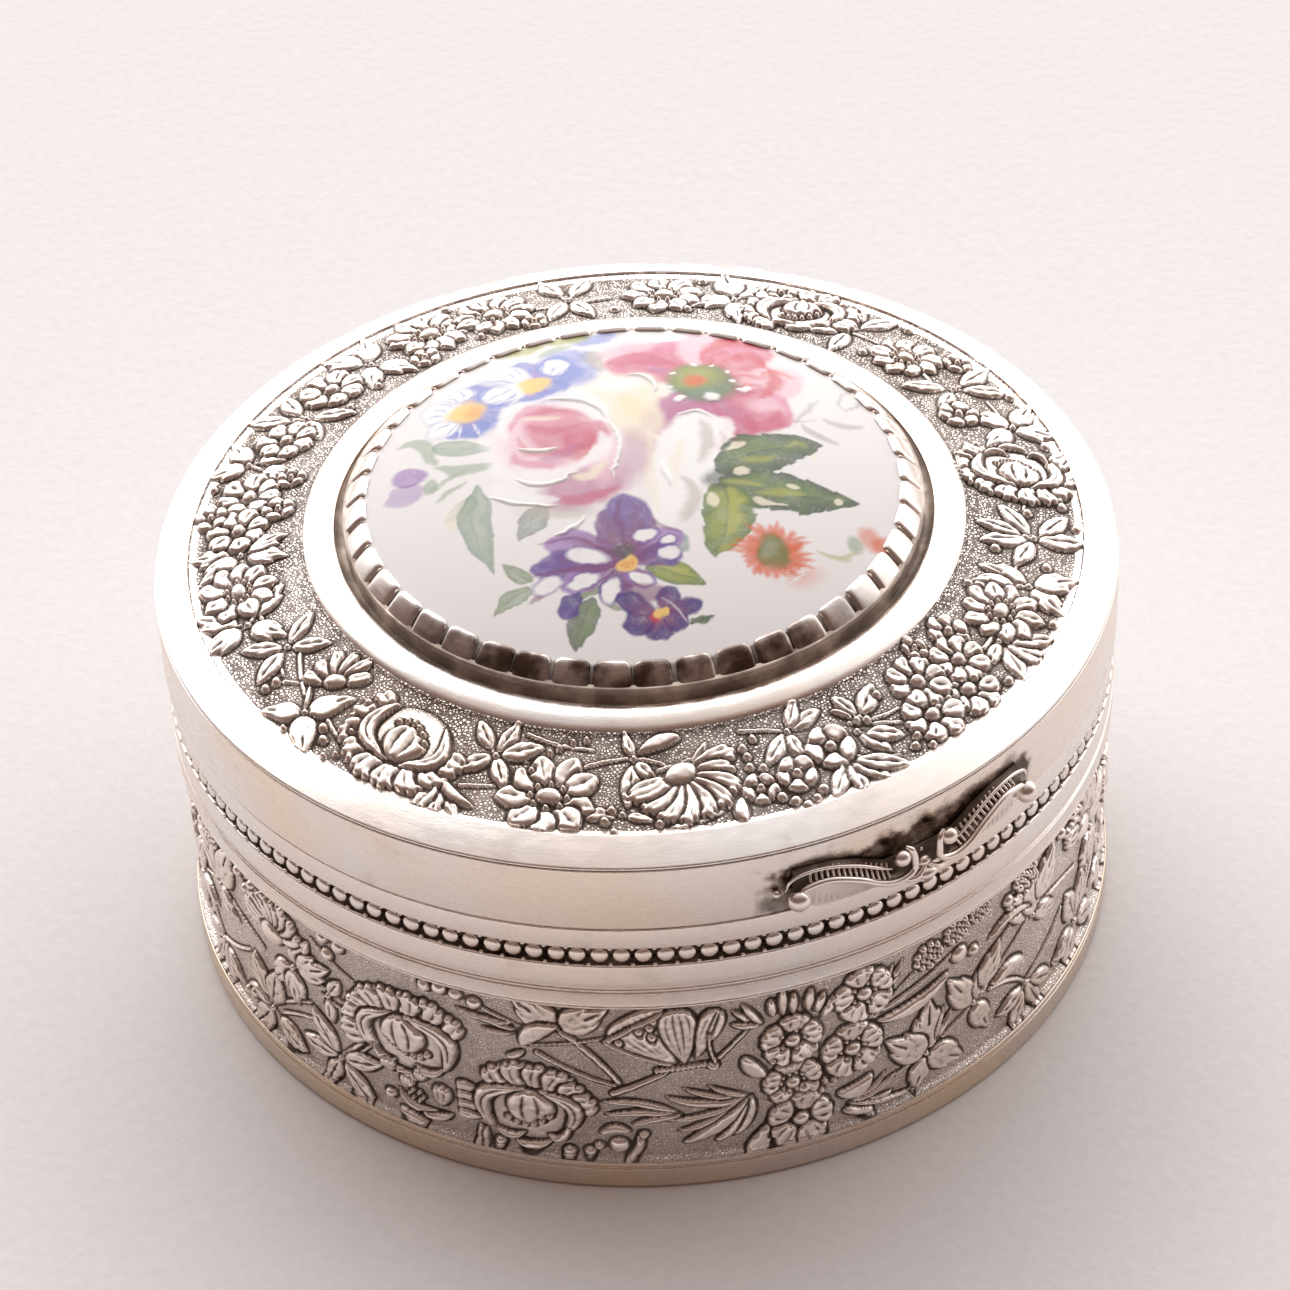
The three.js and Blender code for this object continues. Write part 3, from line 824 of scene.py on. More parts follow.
def strand(points, radius, height=0.16):
    """A stem through (x, y) points, half round and thinner to its end."""
    path = np.array(points, float)

    def form(x, y):
        edge = np.full(x.shape, -9.0)
        for along, away, _ in beside(path, x, y):
            edge = np.maximum(edge, radius * (1 - 0.35 * along) - away)
        return edge, height * bulge(edge, radius)
    return form


class Chaser:
    """Puts flowers on a sheet. Places are (degrees round the box, mm across the band)."""

    def __init__(self, sheet, start):
        self.sheet = sheet
        self.start = start
        self.offset = 0.0
        self.per_degree = sheet.length / 360
        self.random = np.random.default_rng(11)

    def at(self, place):
        return np.array(((place[0] + self.offset) * self.per_degree, place[1] - self.start))

    def vary(self, value, share=0.08):
        """A value changed a little, as no two strokes of a hand are alike."""
        return value * (1 + share * self.random.uniform(-1, 1))

    def press(self, place, turn, size, form, shift=(0, 0)):
        self.sheet.press(self.at(place) + shift, turn, size, form)

    def bowed(self, begin, end, bow):
        """Where a line between two places starts, and from there its bowed middle and its end."""
        start = self.at(begin)
        along = self.at(end) - start
        aside = np.array((-along[1], along[0])) / np.linalg.norm(along)
        return start, along / 2 + aside * bow, along

    def stem(self, begin, end, bow=0.0, radius=0.12, height=0.15):
        """A stem between two places, bowed sideways by bow mm."""
        start, bend, along = self.bowed(begin, end, bow)
        path = arc((0, 0), bend, along, 9)
        self.sheet.press(start, 0, np.abs(path).max() + 0.4, strand(path, radius, height))

    def blade(self, base, tip, bow=0.0, width=0.4, height=0.25):
        """One long curved leaf from a base to a tip."""
        start, bend, along = self.bowed(base, tip, bow)
        self.sheet.press(start, 0, np.linalg.norm(along) + 0.4,
                         curl((0, 0), bend, along, width, height))

    def sprig(self, node, leaves, longest=2.3, plump=0.44, fan=0, height=0.28):
        """Leaves round a node, each given by the place of its middle. A fan cuts them into
        fingers that spread by so many degrees."""
        origin = self.at(node)
        for middle in leaves:
            centre = self.at(middle)
            away = centre - origin
            distance = np.linalg.norm(away)
            length = self.vary(min(1.8 * distance, longest))
            base = centre - away / distance * length / 2
            if np.linalg.norm(base - origin) > 0.15:
                self.sheet.press(origin, 0, distance + 0.4, strand([(0, 0), base - origin], 0.1))
            width = self.vary(max(length * plump, 0.5))
            if fan:
                form = fingered(length, width * 1.15, height, fan)
            else:
                form = leaf(length, width, height, 3)
            turn = math.degrees(math.atan2(away[1], away[0]))
            self.sheet.press(base, turn, length + 0.3, form)
        self.sheet.press(origin, 0, 0.4, boss(0.17, 0.22))

    def berries(self, places, radius=0.3, height=0.3):
        for place in places:
            self.press(place, 20, radius + 0.3, boss(self.vary(radius), height, 1.06))

    def ring(self, place, count, radius, size, height=0.3, stretch=1.0, start=0.0):
        """Small grains in a ring round a place."""
        for index in range(count):
            x, y = polar(radius, start + 360 * index / count)
            self.press(place, 0, size + 0.25, boss(self.vary(size), height), (stretch * x, y))

    def blossom(self, place, radius, petals=5, turn=90.0, ribs=3, stamens=8, eye=0.3):
        """An open flower of broad separate petals round a sunk eye with a boss in it."""
        width = radius * 2.05 * math.sin(math.pi / petals) * 0.86
        for index in range(petals):
            angle = turn + 360 * index / petals + self.random.uniform(-4, 4)
            length = self.vary(radius * (1 - eye), 0.07)
            form = petal(length, self.vary(width, 0.06), 0.33, 1.2, 0.5, ribs, 0.07, 0.1, 0.24, 0.3)
            self.press(place, angle, radius * 1.2, form, polar(radius * eye, angle))
        if stamens:
            self.ring(place, stamens, radius * 0.37, 0.055 * radius + 0.01, 0.26)
        self.press(place, 15, radius, boss(radius * 0.21, 0.38, 1.2))

    def daisy(self, place, radius, petals=9, turn=0.0, beads=10, disc=0.3, ribs=2):
        """Narrow ribbed petals round an oval disc that is ringed with beads."""
        width = radius * 1.75 * math.sin(math.pi / petals)
        for index in range(petals):
            angle = turn + 360 * index / petals + self.random.uniform(-5, 5)
            form = petal(self.vary(radius * 0.72, 0.1), width, 0.3, 0.95, 0.72, ribs, 0.0, 0.0,
                         0.2, 0.3)
            self.press(place, angle, radius * 1.3, form, polar(0.3 * radius, angle))
        self.ring(place, beads, disc * radius * 0.95, 0.1 * math.sqrt(radius), 0.33, 1.25)
        self.press(place, 0, radius, boss(disc * radius * 0.66, 0.4, 1.35))

    def button(self, place, radius):
        """A small flower with two rows of round petals."""
        self.ring(place, 9, 0.70 * radius, radius * 0.25, 0.27)
        self.ring(place, 6, 0.34 * radius, radius * 0.2, 0.29, 1.0, 22.92)
        self.press(place, 0, radius, boss(radius * 0.16, 0.34))

    def fan(self, place, radius, turn, petals, spread=150, width=0.5, ribs=3, cup=0.24):
        """A flower seen from the side: ribbed petals that spread from an oval cup."""
        for index in range(petals):
            angle = turn + spread * ((index + 0.5) / petals - 0.5)
            form = petal(self.vary(radius), radius * width, 0.3, 1.7, 0.5, ribs, 0.08, 0.0, 0.24,
                         0.45)
            self.press(place, angle, radius * 1.3, form)
        self.press(place, turn - 90, radius, boss(radius * cup, 0.36, 1.45))

    def rose(self, place, size, turn=0.0, mirror=1, lobes=(), foot=True):
        """A full rose. Drawn upright in its own frame: ruffled lobes behind, two curled petals
        round a bowl, the bud hanging in it, stamens under the bud and small petals below."""
        def spot(x, y):
            return unturned(x * mirror * size, y * size, -turn)

        def curled(begin, bend, end, width, height=0.34, ribs=0):
            form = curl(spot(*begin), spot(*bend), spot(*end), width * size, height, ribs)
            self.press(place, 0, 3.6 * size, form)

        for angle in lobes:
            x, y = polar(1, angle)
            direction = (angle if mirror > 0 else 180 - angle) + turn
            form = petal(self.vary(2.05) * size, self.vary(1.7) * size, 0.33, 1.8, 0.5, 3, 0.13,
                         0.0, 0.26, 0.35)
            self.press(place, direction, 2.2 * size, form, spot(1.75 * x, 1.35 * y))
        self.press(place, turn, 3.0 * size, boss(1.82 * size, 0.07, 1.34))
        curled((-0.1, 1.62), (-2.25, 0.75), (-1.75, -1.45), 0.95, 0.40, 2)
        curled((0.5, 1.62), (2.3, 0.65), (1.55, -1.35), 0.85, 0.40, 2)
        form = petal(2.15 * size, 2.5 * size, 0.42, 1.15, 0.42, 3, 0.0, 0.0, 0.4, 0.2)
        self.press(place, turn - 90, 3.0 * size, form, spot(0.1, 1.6))
        for index in range(6):
            hang = 0.1 * index + 0.08 * (index - 2.5) ** 2
            self.press(place, 0, 0.6, boss(0.16 * size + 0.03, 0.32),
                       spot(0.42 * index - 1.05, hang - 1.0))
        if foot:
            curled((-1.75, -1.3), (-1.0, -1.68), (-0.25, -1.35), 0.42)
            curled((-0.8, -1.95), (0.1, -2.2), (1.1, -1.7), 0.55, 0.32, 3)
            curled((0.9, -1.35), (1.6, -1.4), (2.0, -0.6), 0.5)


# ---------- the side band ----------
def chase_side(sheet):
    """The flowers of the side, which come three times round the box."""
    work = Chaser(sheet, bottom("side_wall"))
    for third in range(3):
        work.offset = FRONT + 120 * third
        side_stems(work)
        side_leaves(work)
        side_butterfly(work)
        side_roses(work)
        side_blossoms(work)
        side_berries(work)


def side_stems(work):
    """Stems and tendrils. Places are degrees and heights."""
    for stem in (
            ((-49, 8.2), (-39, 7.5), 0.1, 0.09), ((-44.5, 7.4), (-38, 6.9), 0.0, 0.09),
            ((-42, 3.9), (-37, 6.5), -0.05, 0.14), ((-41.5, 4.0), (-37.4, 5.6), -0.1, 0.09),
            ((-55, 3.8), (-47, 6.2), 0.15), ((-53, 3.8), (-46.5, 5.2), 0.1, 0.09),
            ((-45.6, 10.9), (-39, 9.6), -0.1, 0.08), ((-22, 11.1), (-16.6, 10.2), 0.0, 0.09),
            ((-12.3, 10.4), (-5.2, 6.9), 0.2, 0.16, 0.2),
            ((-14.8, 8.6), (-5.6, 6.7), -0.15, 0.12), ((-6.6, 9.9), (-16, 9.0), 0.05, 0.06),
            ((-6, 6.2), (2.2, 8.0), -0.05, 0.16, 0.2), ((6.6, 8.2), (10.4, 9.9), 0.0, 0.1),
            ((25.5, 8.3), (37.6, 9.8), -0.12, 0.12), ((26, 8.2), (31.5, 9.9), 0.05, 0.08),
            ((36, 4.6), (42, 5.6), 0.0, 0.11), ((44, 5.6), (51, 3.9), 0.3, 0.14),
            ((42, 5.8), (52, 8.2), 0.0, 0.09), ((46, 8.4), (52.5, 8.2), 0.5, 0.08),
            ((52.8, 8.2), (64, 7.4), 0.2), ((51.6, 4.0), (60, 6.0), -0.15),
            ((24, 3.1), (33.6, 4.0), 0.1, 0.1)):
        work.stem(*stem)


def side_leaves(work):
    """Sprigs of three to five leaves, most of them cut into fingers, and long grassy blades."""
    for sprig in (
            ((-49.7, 7.9), [(-47.8, 9.4), (-45.8, 8.8), (-52.0, 6.9), (-49.6, 6.5)], 2.7, 0.6,
             20),
            ((-42.5, 3.6), [(-44.8, 5.0), (-46.0, 3.6), (-38.8, 4.2), (-43.9, 2.4), (-39.6, 2.4)],
             2.7, 0.44),
            ((-55.4, 3.4), [(-57.4, 5.2), (-54.2, 5.2), (-59.2, 3.1), (-57.6, 2.2), (-51.4, 2.7)],
             2.5, 0.62), ((-12.2, 10.4), [(-15.0, 11.4), (-8.9, 11.2)], 2.9, 0.62, 17)):
        work.sprig(*sprig)
    for blade in (
            ((-16.6, 9.0), (-12.0, 10.6), 0.35, 1.05, 0.32),
            ((-16.4, 8.6), (-18.6, 8.1), 0.1, 0.4), ((-17.2, 9.9), (-23.6, 10.3), -0.1, 0.34),
            ((-17.6, 10.3), (-24.6, 10.6), 0.1, 0.28), ((-17.4, 9.7), (-21.4, 9.7), 0.1, 0.25)):
        work.blade(*blade)
    work.sprig((-43.6, 7.6), [(-42.4, 8.4), (-43.4, 6.6)], 1.7, 0.5)
    work.sprig((33.4, 4.1), [(33.6, 6.0), (30.4, 5.2), (32.2, 2.9), (36.6, 3.2)], 3.4, 0.6, 16)
    work.blade((34.8, 4.7), (36.2, 6.6), 0.1, 0.26)
    work.blade((35.2, 4.7), (37.6, 6.1), 0.1, 0.26)
    work.sprig((41.0, 5.5), [(38.8, 6.9), (42.8, 7.0), (44.0, 7.4), (42.4, 4.2)], 2.9, 0.5, 14)
    work.blade((44.2, 5.8), (50.4, 5.8), 0.3, 0.9, 0.3)
    work.sprig((52.5, 8.0), [(49.0, 9.6), (52.3, 9.9), (55.4, 10.2), (55.4, 7.6)], 3.4, 0.55, 14)
    work.blade((43.6, 9.0), (51.8, 8.9), 0.6, 0.55)
    work.sprig((51.2, 3.8), [(47.8, 3.5), (49.2, 2.4), (52.8, 2.5), (54.8, 3.1)], 2.4, 0.45)
    for blade in (
            ((26.4, 7.9), (36.8, 8.8), -0.5, 0.85, 0.3),
            ((21.0, 4.0), (25.6, 4.5), -0.45, 0.95, 0.3),
            ((21.8, 2.6), (25.6, 1.9), 0.2, 0.8, 0.3)):
        work.blade(*blade)
    for tip in ((27.6, 4.2), (29.0, 3.8), (28.6, 2.7), (31.4, 2.2)):
        work.blade((22.4, 3.0), tip, -0.2, 0.26)
    for tip, bow, width in (
            ((2.2, 6.4), 0.2, 0.3), ((5.2, 6.4), 0.1, 0.24), ((0.2, 5.9), 0.4, 0.5),
            ((-0.4, 4.3), 0.3, 0.3), ((1.4, 3.5), 0.25, 0.36), ((2.0, 2.7), 0.3, 0.75),
            ((5.8, 2.6), 0.4, 0.6), ((8.0, 2.8), 0.35, 0.5)):
        work.blade((10.4, 5.3), tip, bow, width)
    for tip, bow in (((-7.4, 5.6), -0.4), ((-7.2, 4.7), -0.25), ((-4.0, 4.1), -0.1)):
        work.blade((2.0, 4.6), tip, bow, 0.36)
    for tip in ((8.4, 11.2), (8.2, 10.3), (9.6, 11.5)):
        work.blade((12.0, 10.0), tip, 0.05, 0.42)
    for base, tip in (
            ((13.2, 10.4), (13.0, 11.5)), ((14.4, 10.3), (14.5, 12.0)),
            ((15.6, 10.3), (15.8, 11.6)), ((17.4, 10.2), (18.0, 11.6)),
            ((18.4, 10.0), (19.6, 11.1)), ((19.2, 9.5), (21.6, 10.9))):
        work.blade(base, tip, 0.0, 0.5, 0.3)
    work.blade((12.2, 6.6), (9.6, 8.0), 0.2, 0.85, 0.3)
    work.blade((12.4, 3.2), (9.4, 1.6), 0.25, 1.0, 0.3)
    for tip in ((28.8, 11.2), (30.2, 11.2), (29.6, 10.4)):
        work.blade((26.6, 8.8), tip, 0.1, 0.28)


def side_butterfly(work):
    """A butterfly in profile over a leafy twig, wings up."""
    work.press((1.6, 8.0), 123, 4.6, petal(4.1, 3.5, 0.22, 2.6, 0.4, 9, 0.0, 0.0, 0.14, 0.1))
    work.stem((-6.6, 9.7), (1.0, 11.7), 0.15, 0.15, 0.36)
    work.stem((-6.6, 9.7), (1.0, 8.1), -0.12, 0.1, 0.3)
    for spot in ((-5.0, 9.7), (-2.6, 10.4), (-1.3, 10.6), (-1.1, 10.0)):
        work.press(spot, 120, 0.6, boss(0.2, 0.3, 1.3))
    work.press((2.6, 8.1), 96, 4.0, petal(3.7, 1.9, 0.3, 1.9, 0.42, 5, 0.0, 0.0, 0.16, 0.1))
    work.press((3.8, 8.3), 70, 4.0, petal(3.4, 1.3, 0.28, 2.2, 0.42, 4, 0.0, 0.0, 0.16, 0.1))
    for index in range(10):
        work.press((-0.6 + 0.62 * index, 7.72 + 0.02 * index), 0, 0.5, boss(0.17, 0.3, 1.1))
    work.press((5.9, 7.8), 0, 0.6, boss(0.25, 0.34, 1.2))
    work.stem((6.2, 8.0), (5.7, 10.1), 0.15, 0.09)
    work.stem((5.7, 10.1), (6.8, 11.4), 0.0, 0.1)


ROSE_LOBES = (120, 99, 79, 60, 41, 23)


def side_roses(work):
    work.rose((-31.8, 7.1), 1.05, 8, -1, (146, 124, 102, 78, 56, 34, 14, -6))
    for place, turn, length, width in (
            ((-34.2, 4.6), 115, 1.0, 0.9), ((-27.6, 3.4), 85, 1.5, 1.1),
            ((-33.0, 3.8), 60, 1.1, 0.9), ((-30.6, 4.6), 75, 0.9, 0.8)):
        work.press(place, turn, length + 0.4, petal(length, width, 0.34, 1.5, 0.45, 3, 0.1))
    work.ring((-31.0, 3.6), 6, 0.3, 0.12, 0.32, 1.3)
    for blade in (
            ((-33.6, 3.6), (-27.2, 3.0), -0.55, 0.5, 0.32),
            ((-30.4, 2.6), (-26.2, 3.0), -0.2, 0.5, 0.32),
            ((-33.6, 2.3), (-29.6, 1.95), -0.1, 0.55, 0.32)):
        work.blade(*blade)
    work.press((-34.8, 3.0), 200, 1.0, boss(0.3, 0.3, 1.2))
    for index in range(4):
        work.press((-22.4, 5.3 - 0.66 * index), 178 - 4 * index, 1.4,
                   petal(1.25, 0.72, 0.32, 1.5, 0.45, 2, 0.1))
    work.rose((-16.3, 4.4), 1.0, 0, 1, ROSE_LOBES)
    work.blade((-22.6, 2.9), (-22.9, 1.4), 0.1, 0.5)
    work.blade((-21.8, 2.8), (-21.6, 1.6), -0.1, 0.4)
    work.fan((-53.5, 9.2), 2.6, 92, 8, 150, 0.5)
    rosebud(work, (-5.6, 2.7))


def rosebud(work, place):
    """A closed bud on its side, between two curled sepals."""
    work.press(place, 0, 1.2, boss(0.5, 0.34, 1.0))
    work.blade((place[0] - 2.2, place[1] + 0.7), (place[0] + 1.4, place[1] + 0.9), 0.35, 0.5, 0.32)
    work.blade((place[0] + 0.6, place[1] - 1.0), (place[0] + 2.4, place[1] + 0.9), -0.35, 0.5, 0.32)
    work.berries([(place[0] + 3.0, place[1] + 0.7), (place[0] - 2.4, place[1] - 0.1)], 0.24)


def side_blossoms(work):
    for place, radius, turn, stamens in (
            ((15.4, 5.7), 1.55, 98, 10), ((23.1, 6.7), 1.75, 92, 6), ((15.5, 8.5), 1.65, 84, 5),
            ((24.7, 10.1), 1.7, 100, 5), ((16.3, 3.1), 1.75, 80, 0)):
        work.blossom(place, radius, 5, turn, 3, stamens)
    for place, radius in (
            ((33.8, 10.6), 0.95), ((38.2, 11.2), 0.9), ((42.0, 11.5), 0.78), ((50.6, 11.4), 1.1)):
        work.button(place, radius)


def side_berries(work):
    for group in (
            ([(-43.5, 11.6), (-41.0, 11.5), (-42.9, 10.6)], 0.36),
            ([(-28.5, 11.5), (-26.6, 11.6), (-24.5, 11.5), (-22.2, 11.2)], 0.37),
            ([(-20.1, 2.1), (-11.6, 2.1), (-9.1, 2.2)], 0.3), ([(38.6, 9.5)], 0.5),
            ([(40.9, 9.15), (47.2, 10.6)], 0.34),
            ([(19.4, 5.2), (20.6, 5.0), (19.0, 4.6), (13.0, 7.4)], 0.16),
            ([(58.6, 2.8), (60.2, 3.1), (59.4, 11.2), (61.2, 10.6), (62.8, 11.3)], 0.3)):
        work.berries(*group)


# ---------- the lid's ring ----------
def chase_lid(sheet):
    """The garland of the lid. Places are degrees from the front and radii."""
    work = Chaser(sheet, FRAME_OUTER)
    work.offset = FRONT
    lid_stems(work)
    lid_leaves(work)
    lid_flowers(work)
    lid_berries(work)


def lid_stems(work):
    for begin, end, bow in (
            ((-75, 19.3), (-60, 19.9), -0.3), ((-60, 20.4), (-53, 18.5), 0.0),
            ((-62, 18.6), (-50, 20.4), 0.1), ((-48.5, 20.1), (-42.5, 20.9), 0.0),
            ((-22, 18.6), (-17.6, 18.4), 0.0), ((-25.5, 20.4), (-20.8, 20.0), 0.0),
            ((-9.4, 18.4), (-1.6, 17.8), -0.1), ((-1.4, 17.9), (4.4, 18.7), -0.15),
            ((1.6, 18.6), (8.6, 17.9), 0.0), ((-19, 16.9), (-8, 17.4), 0.1),
            ((14.8, 17.1), (22, 17.8), -0.1), ((28.5, 20.3), (34, 21.3), 0.0),
            ((31, 18.6), (38.6, 20.0), 0.0), ((33, 18.8), (39, 19.1), 0.1),
            ((56, 19.6), (66, 19.0), 0.2), ((74, 19.2), (90, 19.4), -0.3),
            ((104, 19.8), (116, 20.4), 0.2), ((122, 18.6), (142, 19.2), 0.3),
            ((-178, 19.4), (-166, 19.2), -0.2), ((-140, 19.0), (-126, 19.6), 0.2)):
        work.stem(begin, end, bow, 0.1)


def lid_leaves(work):
    """Sprigs, each with the place of its node and of the middles of its leaves."""
    for sprig in (
            ((-88, 19.6), [(-88.6, 21.2), (-85.6, 20.8), (-86.2, 18.2), (-89.6, 18.2)], 2.4, 0.5,
             16),
            ((-72.5, 20.0), [(-75.5, 21.5), (-71, 21.5), (-76, 18.6), (-69.2, 19.2)], 2.4, 0.5,
             16),
            ((-64.5, 18.9), [(-66.5, 20.0), (-62.5, 20.2), (-67, 17.8), (-62.2, 17.9)], 2.1),
            ((-52, 20.5), [(-54.6, 21.3), (-49.0, 21.5), (-49.8, 19.4)], 2.7, 0.6, 10)):
        work.sprig(*sprig)
    work.blade((-52.4, 20.4), (-55.4, 19.3), 0.05, 0.3)
    work.sprig((-28.2, 20.4), [(-25.8, 21.4), (-27.4, 21.6), (-29.0, 21.7)], 2.7, 0.36)
    work.blade((-28.6, 20.2), (-22.4, 21.4), 0.25, 0.6, 0.3)
    work.sprig((-22.5, 18.4), [(-25.2, 19.1), (-20.9, 19.3), (-25.6, 17.4), (-21.6, 17.3),
                               (-18.7, 17.9)], 2.1, 0.46)
    work.sprig((-1.9, 17.9), [(-2.4, 19.4), (-0.2, 18.7), (-2.8, 17.1)], 2.6, 0.4)
    work.blade((-1.2, 17.6), (5.6, 16.9), -0.2, 0.8, 0.3)
    work.blade((6.4, 18.4), (9.4, 17.3), 0.05, 0.4)
    work.sprig((-3.4, 21.0), [(-1.2, 21.2), (-6.8, 21.0)], 1.8, 0.4)
    for index in range(5):
        work.press((2.4 + 2.4 * index, 21.75 - 0.11 * index ** 1.5), -10 * index, 1.2,
                   leaf(1.1, 0.32, 0.24, 0))
    work.blade((12.0, 20.8), (11.6, 22.1), 0.1, 0.7, 0.3)
    for sprig in (
            ((27.5, 20.3), [(25.0, 21.3), (27.2, 21.6), (29.4, 21.4), (31.4, 21.3)], 2.6, 0.4),
            ((31.2, 19.2), [(32.4, 20.1), (34.4, 20.0)], 2.0, 0.5),
            ((21.9, 17.8), [(19.2, 18.6), (21.9, 18.8), (25.6, 17.5), (24.0, 17.0)], 2.6, 0.42),
            ((33.0, 18.6), [(32.2, 17.7), (36.2, 17.9)], 2.3, 0.5)):
        work.sprig(*sprig)
    work.blade((32.0, 18.4), (29.8, 17.6), 0.0, 0.3)
    for sprig in (
            ((59.5, 20.0), [(57.0, 21.3), (59.6, 21.7), (62.2, 21.4), (56.6, 20.2)], 2.5, 0.4),
            ((72.0, 20.0), [(70.0, 21.2), (74.2, 21.3), (72.8, 18.6), (69.6, 18.2)], 2.5, 0.5,
             16),
            ((82.5, 19.8), [(82.8, 21.2), (86.0, 20.8), (78.6, 19.4), (80.8, 18.3), (86.4, 18.8),
             (83.6, 18.0)], 2.4),
            ((109, 20.6), [(107, 21.6), (111.4, 21.6), (106.4, 19.4), (111.6, 19.6)], 2.3, 0.5,
             16),
            ((120.5, 19.4), [(118.2, 20.9), (122, 21.2), (117.4, 18.3), (122.8, 18.0)], 2.4,
             0.46),
            ((142.5, 19.4), [(140.4, 21.0), (144.4, 21.1), (145.6, 18.6), (141.4, 17.8)], 2.4),
            ((162.5, 19.6), [(160.4, 21.1), (164.6, 21.3), (166, 18.9), (160.6, 18.0)], 2.5, 0.5,
             16),
            ((-171.5, 19.6), [(-174, 21.1), (-169.6, 21.3), (-173.4, 18.2), (-169, 18.4)], 2.4),
            ((-138, 19.8), [(-140.4, 21.3), (-135.8, 21.3), (-134.8, 18.6), (-139.6, 18.1)], 2.5,
             0.5, 16),
            ((-121.5, 19.4), [(-124, 21.0), (-119.6, 21.3), (-118.8, 18.4), (-123.6, 18.0)], 2.4),
            ((-109.5, 20.6), [(-112, 21.5), (-107.6, 21.6), (-111.6, 19.2), (-107, 18.6)], 2.2,
             0.5, 16)):
        work.sprig(*sprig)


def lid_flowers(work):
    ruffles = (200, 176, 152, 128, 104, 80, 56, 34, 12)
    for rose in (
            ((-36.2, 18.9), 0.92, 3, 1, ruffles, False),
            ((98.5, 19.5), 0.85, 95, 1, ruffles + (-20, 224)),
            ((151.5, 19.4), 0.85, -20, -1, ruffles + (-20, 224))):
        work.rose(*rose)
    for daisy in (
            ((-13.3, 20.2), 2.3, 9, 12, 8), ((-79.8, 19.9), 2.0, 9, 30),
            ((64.9, 19.3), 2.0, 10, 5), ((131, 19.2), 2.0, 9, 12), ((-149, 19.9), 2.3, 11, 8),
            ((-159.5, 19.6), 2.2, 11, 20), ((173.5, 19.5), 2.1, 9, 0)):
        work.daisy(*daisy)
    work.fan((-53.0, 18.4), 1.9, 235, 6, 200, 0.44, 2, 0.22)
    work.fan((4.7, 18.9), 2.8, 68, 9, 190, 0.44, 3, 0.2)
    for place, radius, petals in (
            ((-101.5, 19.7), 1.75, 7), ((-93.6, 19.8), 1.65, 7), ((-97.6, 21.4), 0.9, 5),
            ((-97.4, 17.9), 0.9, 5), ((48.9, 20.5), 1.6, 8), ((41.8, 20.4), 1.55, 7),
            ((56.2, 17.8), 1.1, 6), ((52.4, 19.1), 1.55, 8), ((44.6, 18.6), 1.65, 8),
            ((49.4, 17.2), 0.7, 5), ((26.4, 19.4), 1.25, 5), ((14.8, 20.5), 0.85, 5),
            ((20.2, 20.2), 1.0, 5), ((-129.5, 19.8), 1.75, 7), ((-115.5, 19.4), 1.6, 7),
            ((113.5, 18.3), 1.15, 6), ((126, 21.2), 0.8, 5), ((-164.6, 17.6), 0.8, 5),
            ((156.6, 21.2), 0.8, 5), ((-144, 17.7), 0.9, 5), ((-105.5, 17.8), 0.8, 5)):
        turn = 90 + 17 * math.sin(place[0])
        work.blossom(place, radius, petals, turn, 2 if radius > 1.3 else 1, 0)


def lid_berries(work):
    for group in (
            ([(-46.3, 21.1), (-47.8, 20.6), (-59.5, 21.0), (-59.5, 20.4), (-45.6, 18.3)], 0.24),
            ([(-52.0, 21.8), (-44.4, 21.8), (-43.2, 21.4), (-44.0, 20.0)], 0.16),
            ([(-14.6, 17.8), (-13.4, 17.5), (-11.4, 17.1), (-16.6, 18.9), (-9.4, 16.9)], 0.17),
            ([(-5.6, 21.4), (-4.8, 20.8), (-4.4, 22.0), (1.2, 21.6)], 0.2),
            ([(18.4, 21.6), (17.0, 21.2), (21.0, 21.8), (22.4, 21.4), (19.6, 22.0)], 0.24),
            ([(14.4, 19.2), (14.6, 18.6), (14.4, 18.1), (16.2, 19.4), (16.4, 17.7)], 0.22),
            ([(36.4, 21.3), (37.6, 20.9), (38.4, 21.7), (32.2, 18.7), (33.6, 18.9)], 0.2),
            ([(78.2, 18.0), (88.0, 19.5), (86.2, 21.9), (76.8, 20.6), (90.4, 21.3)], 0.24),
            ([(53.9, 21.6), (37.8, 18.0), (66.4, 21.8), (68.0, 17.3)], 0.24),
            ([(104.0, 21.6), (104.8, 18.0), (116, 21.8), (136.6, 21.6), (136.4, 17.8)], 0.24),
            ([(147.4, 21.6), (168.4, 21.4), (169, 17.8), (-178.6, 17.8), (-154.6, 21.9)], 0.24),
            ([(-154.8, 17.6), (-133.4, 17.6), (-126.0, 17.6), (-104, 21.8)], 0.22)):
        work.berries(*group)


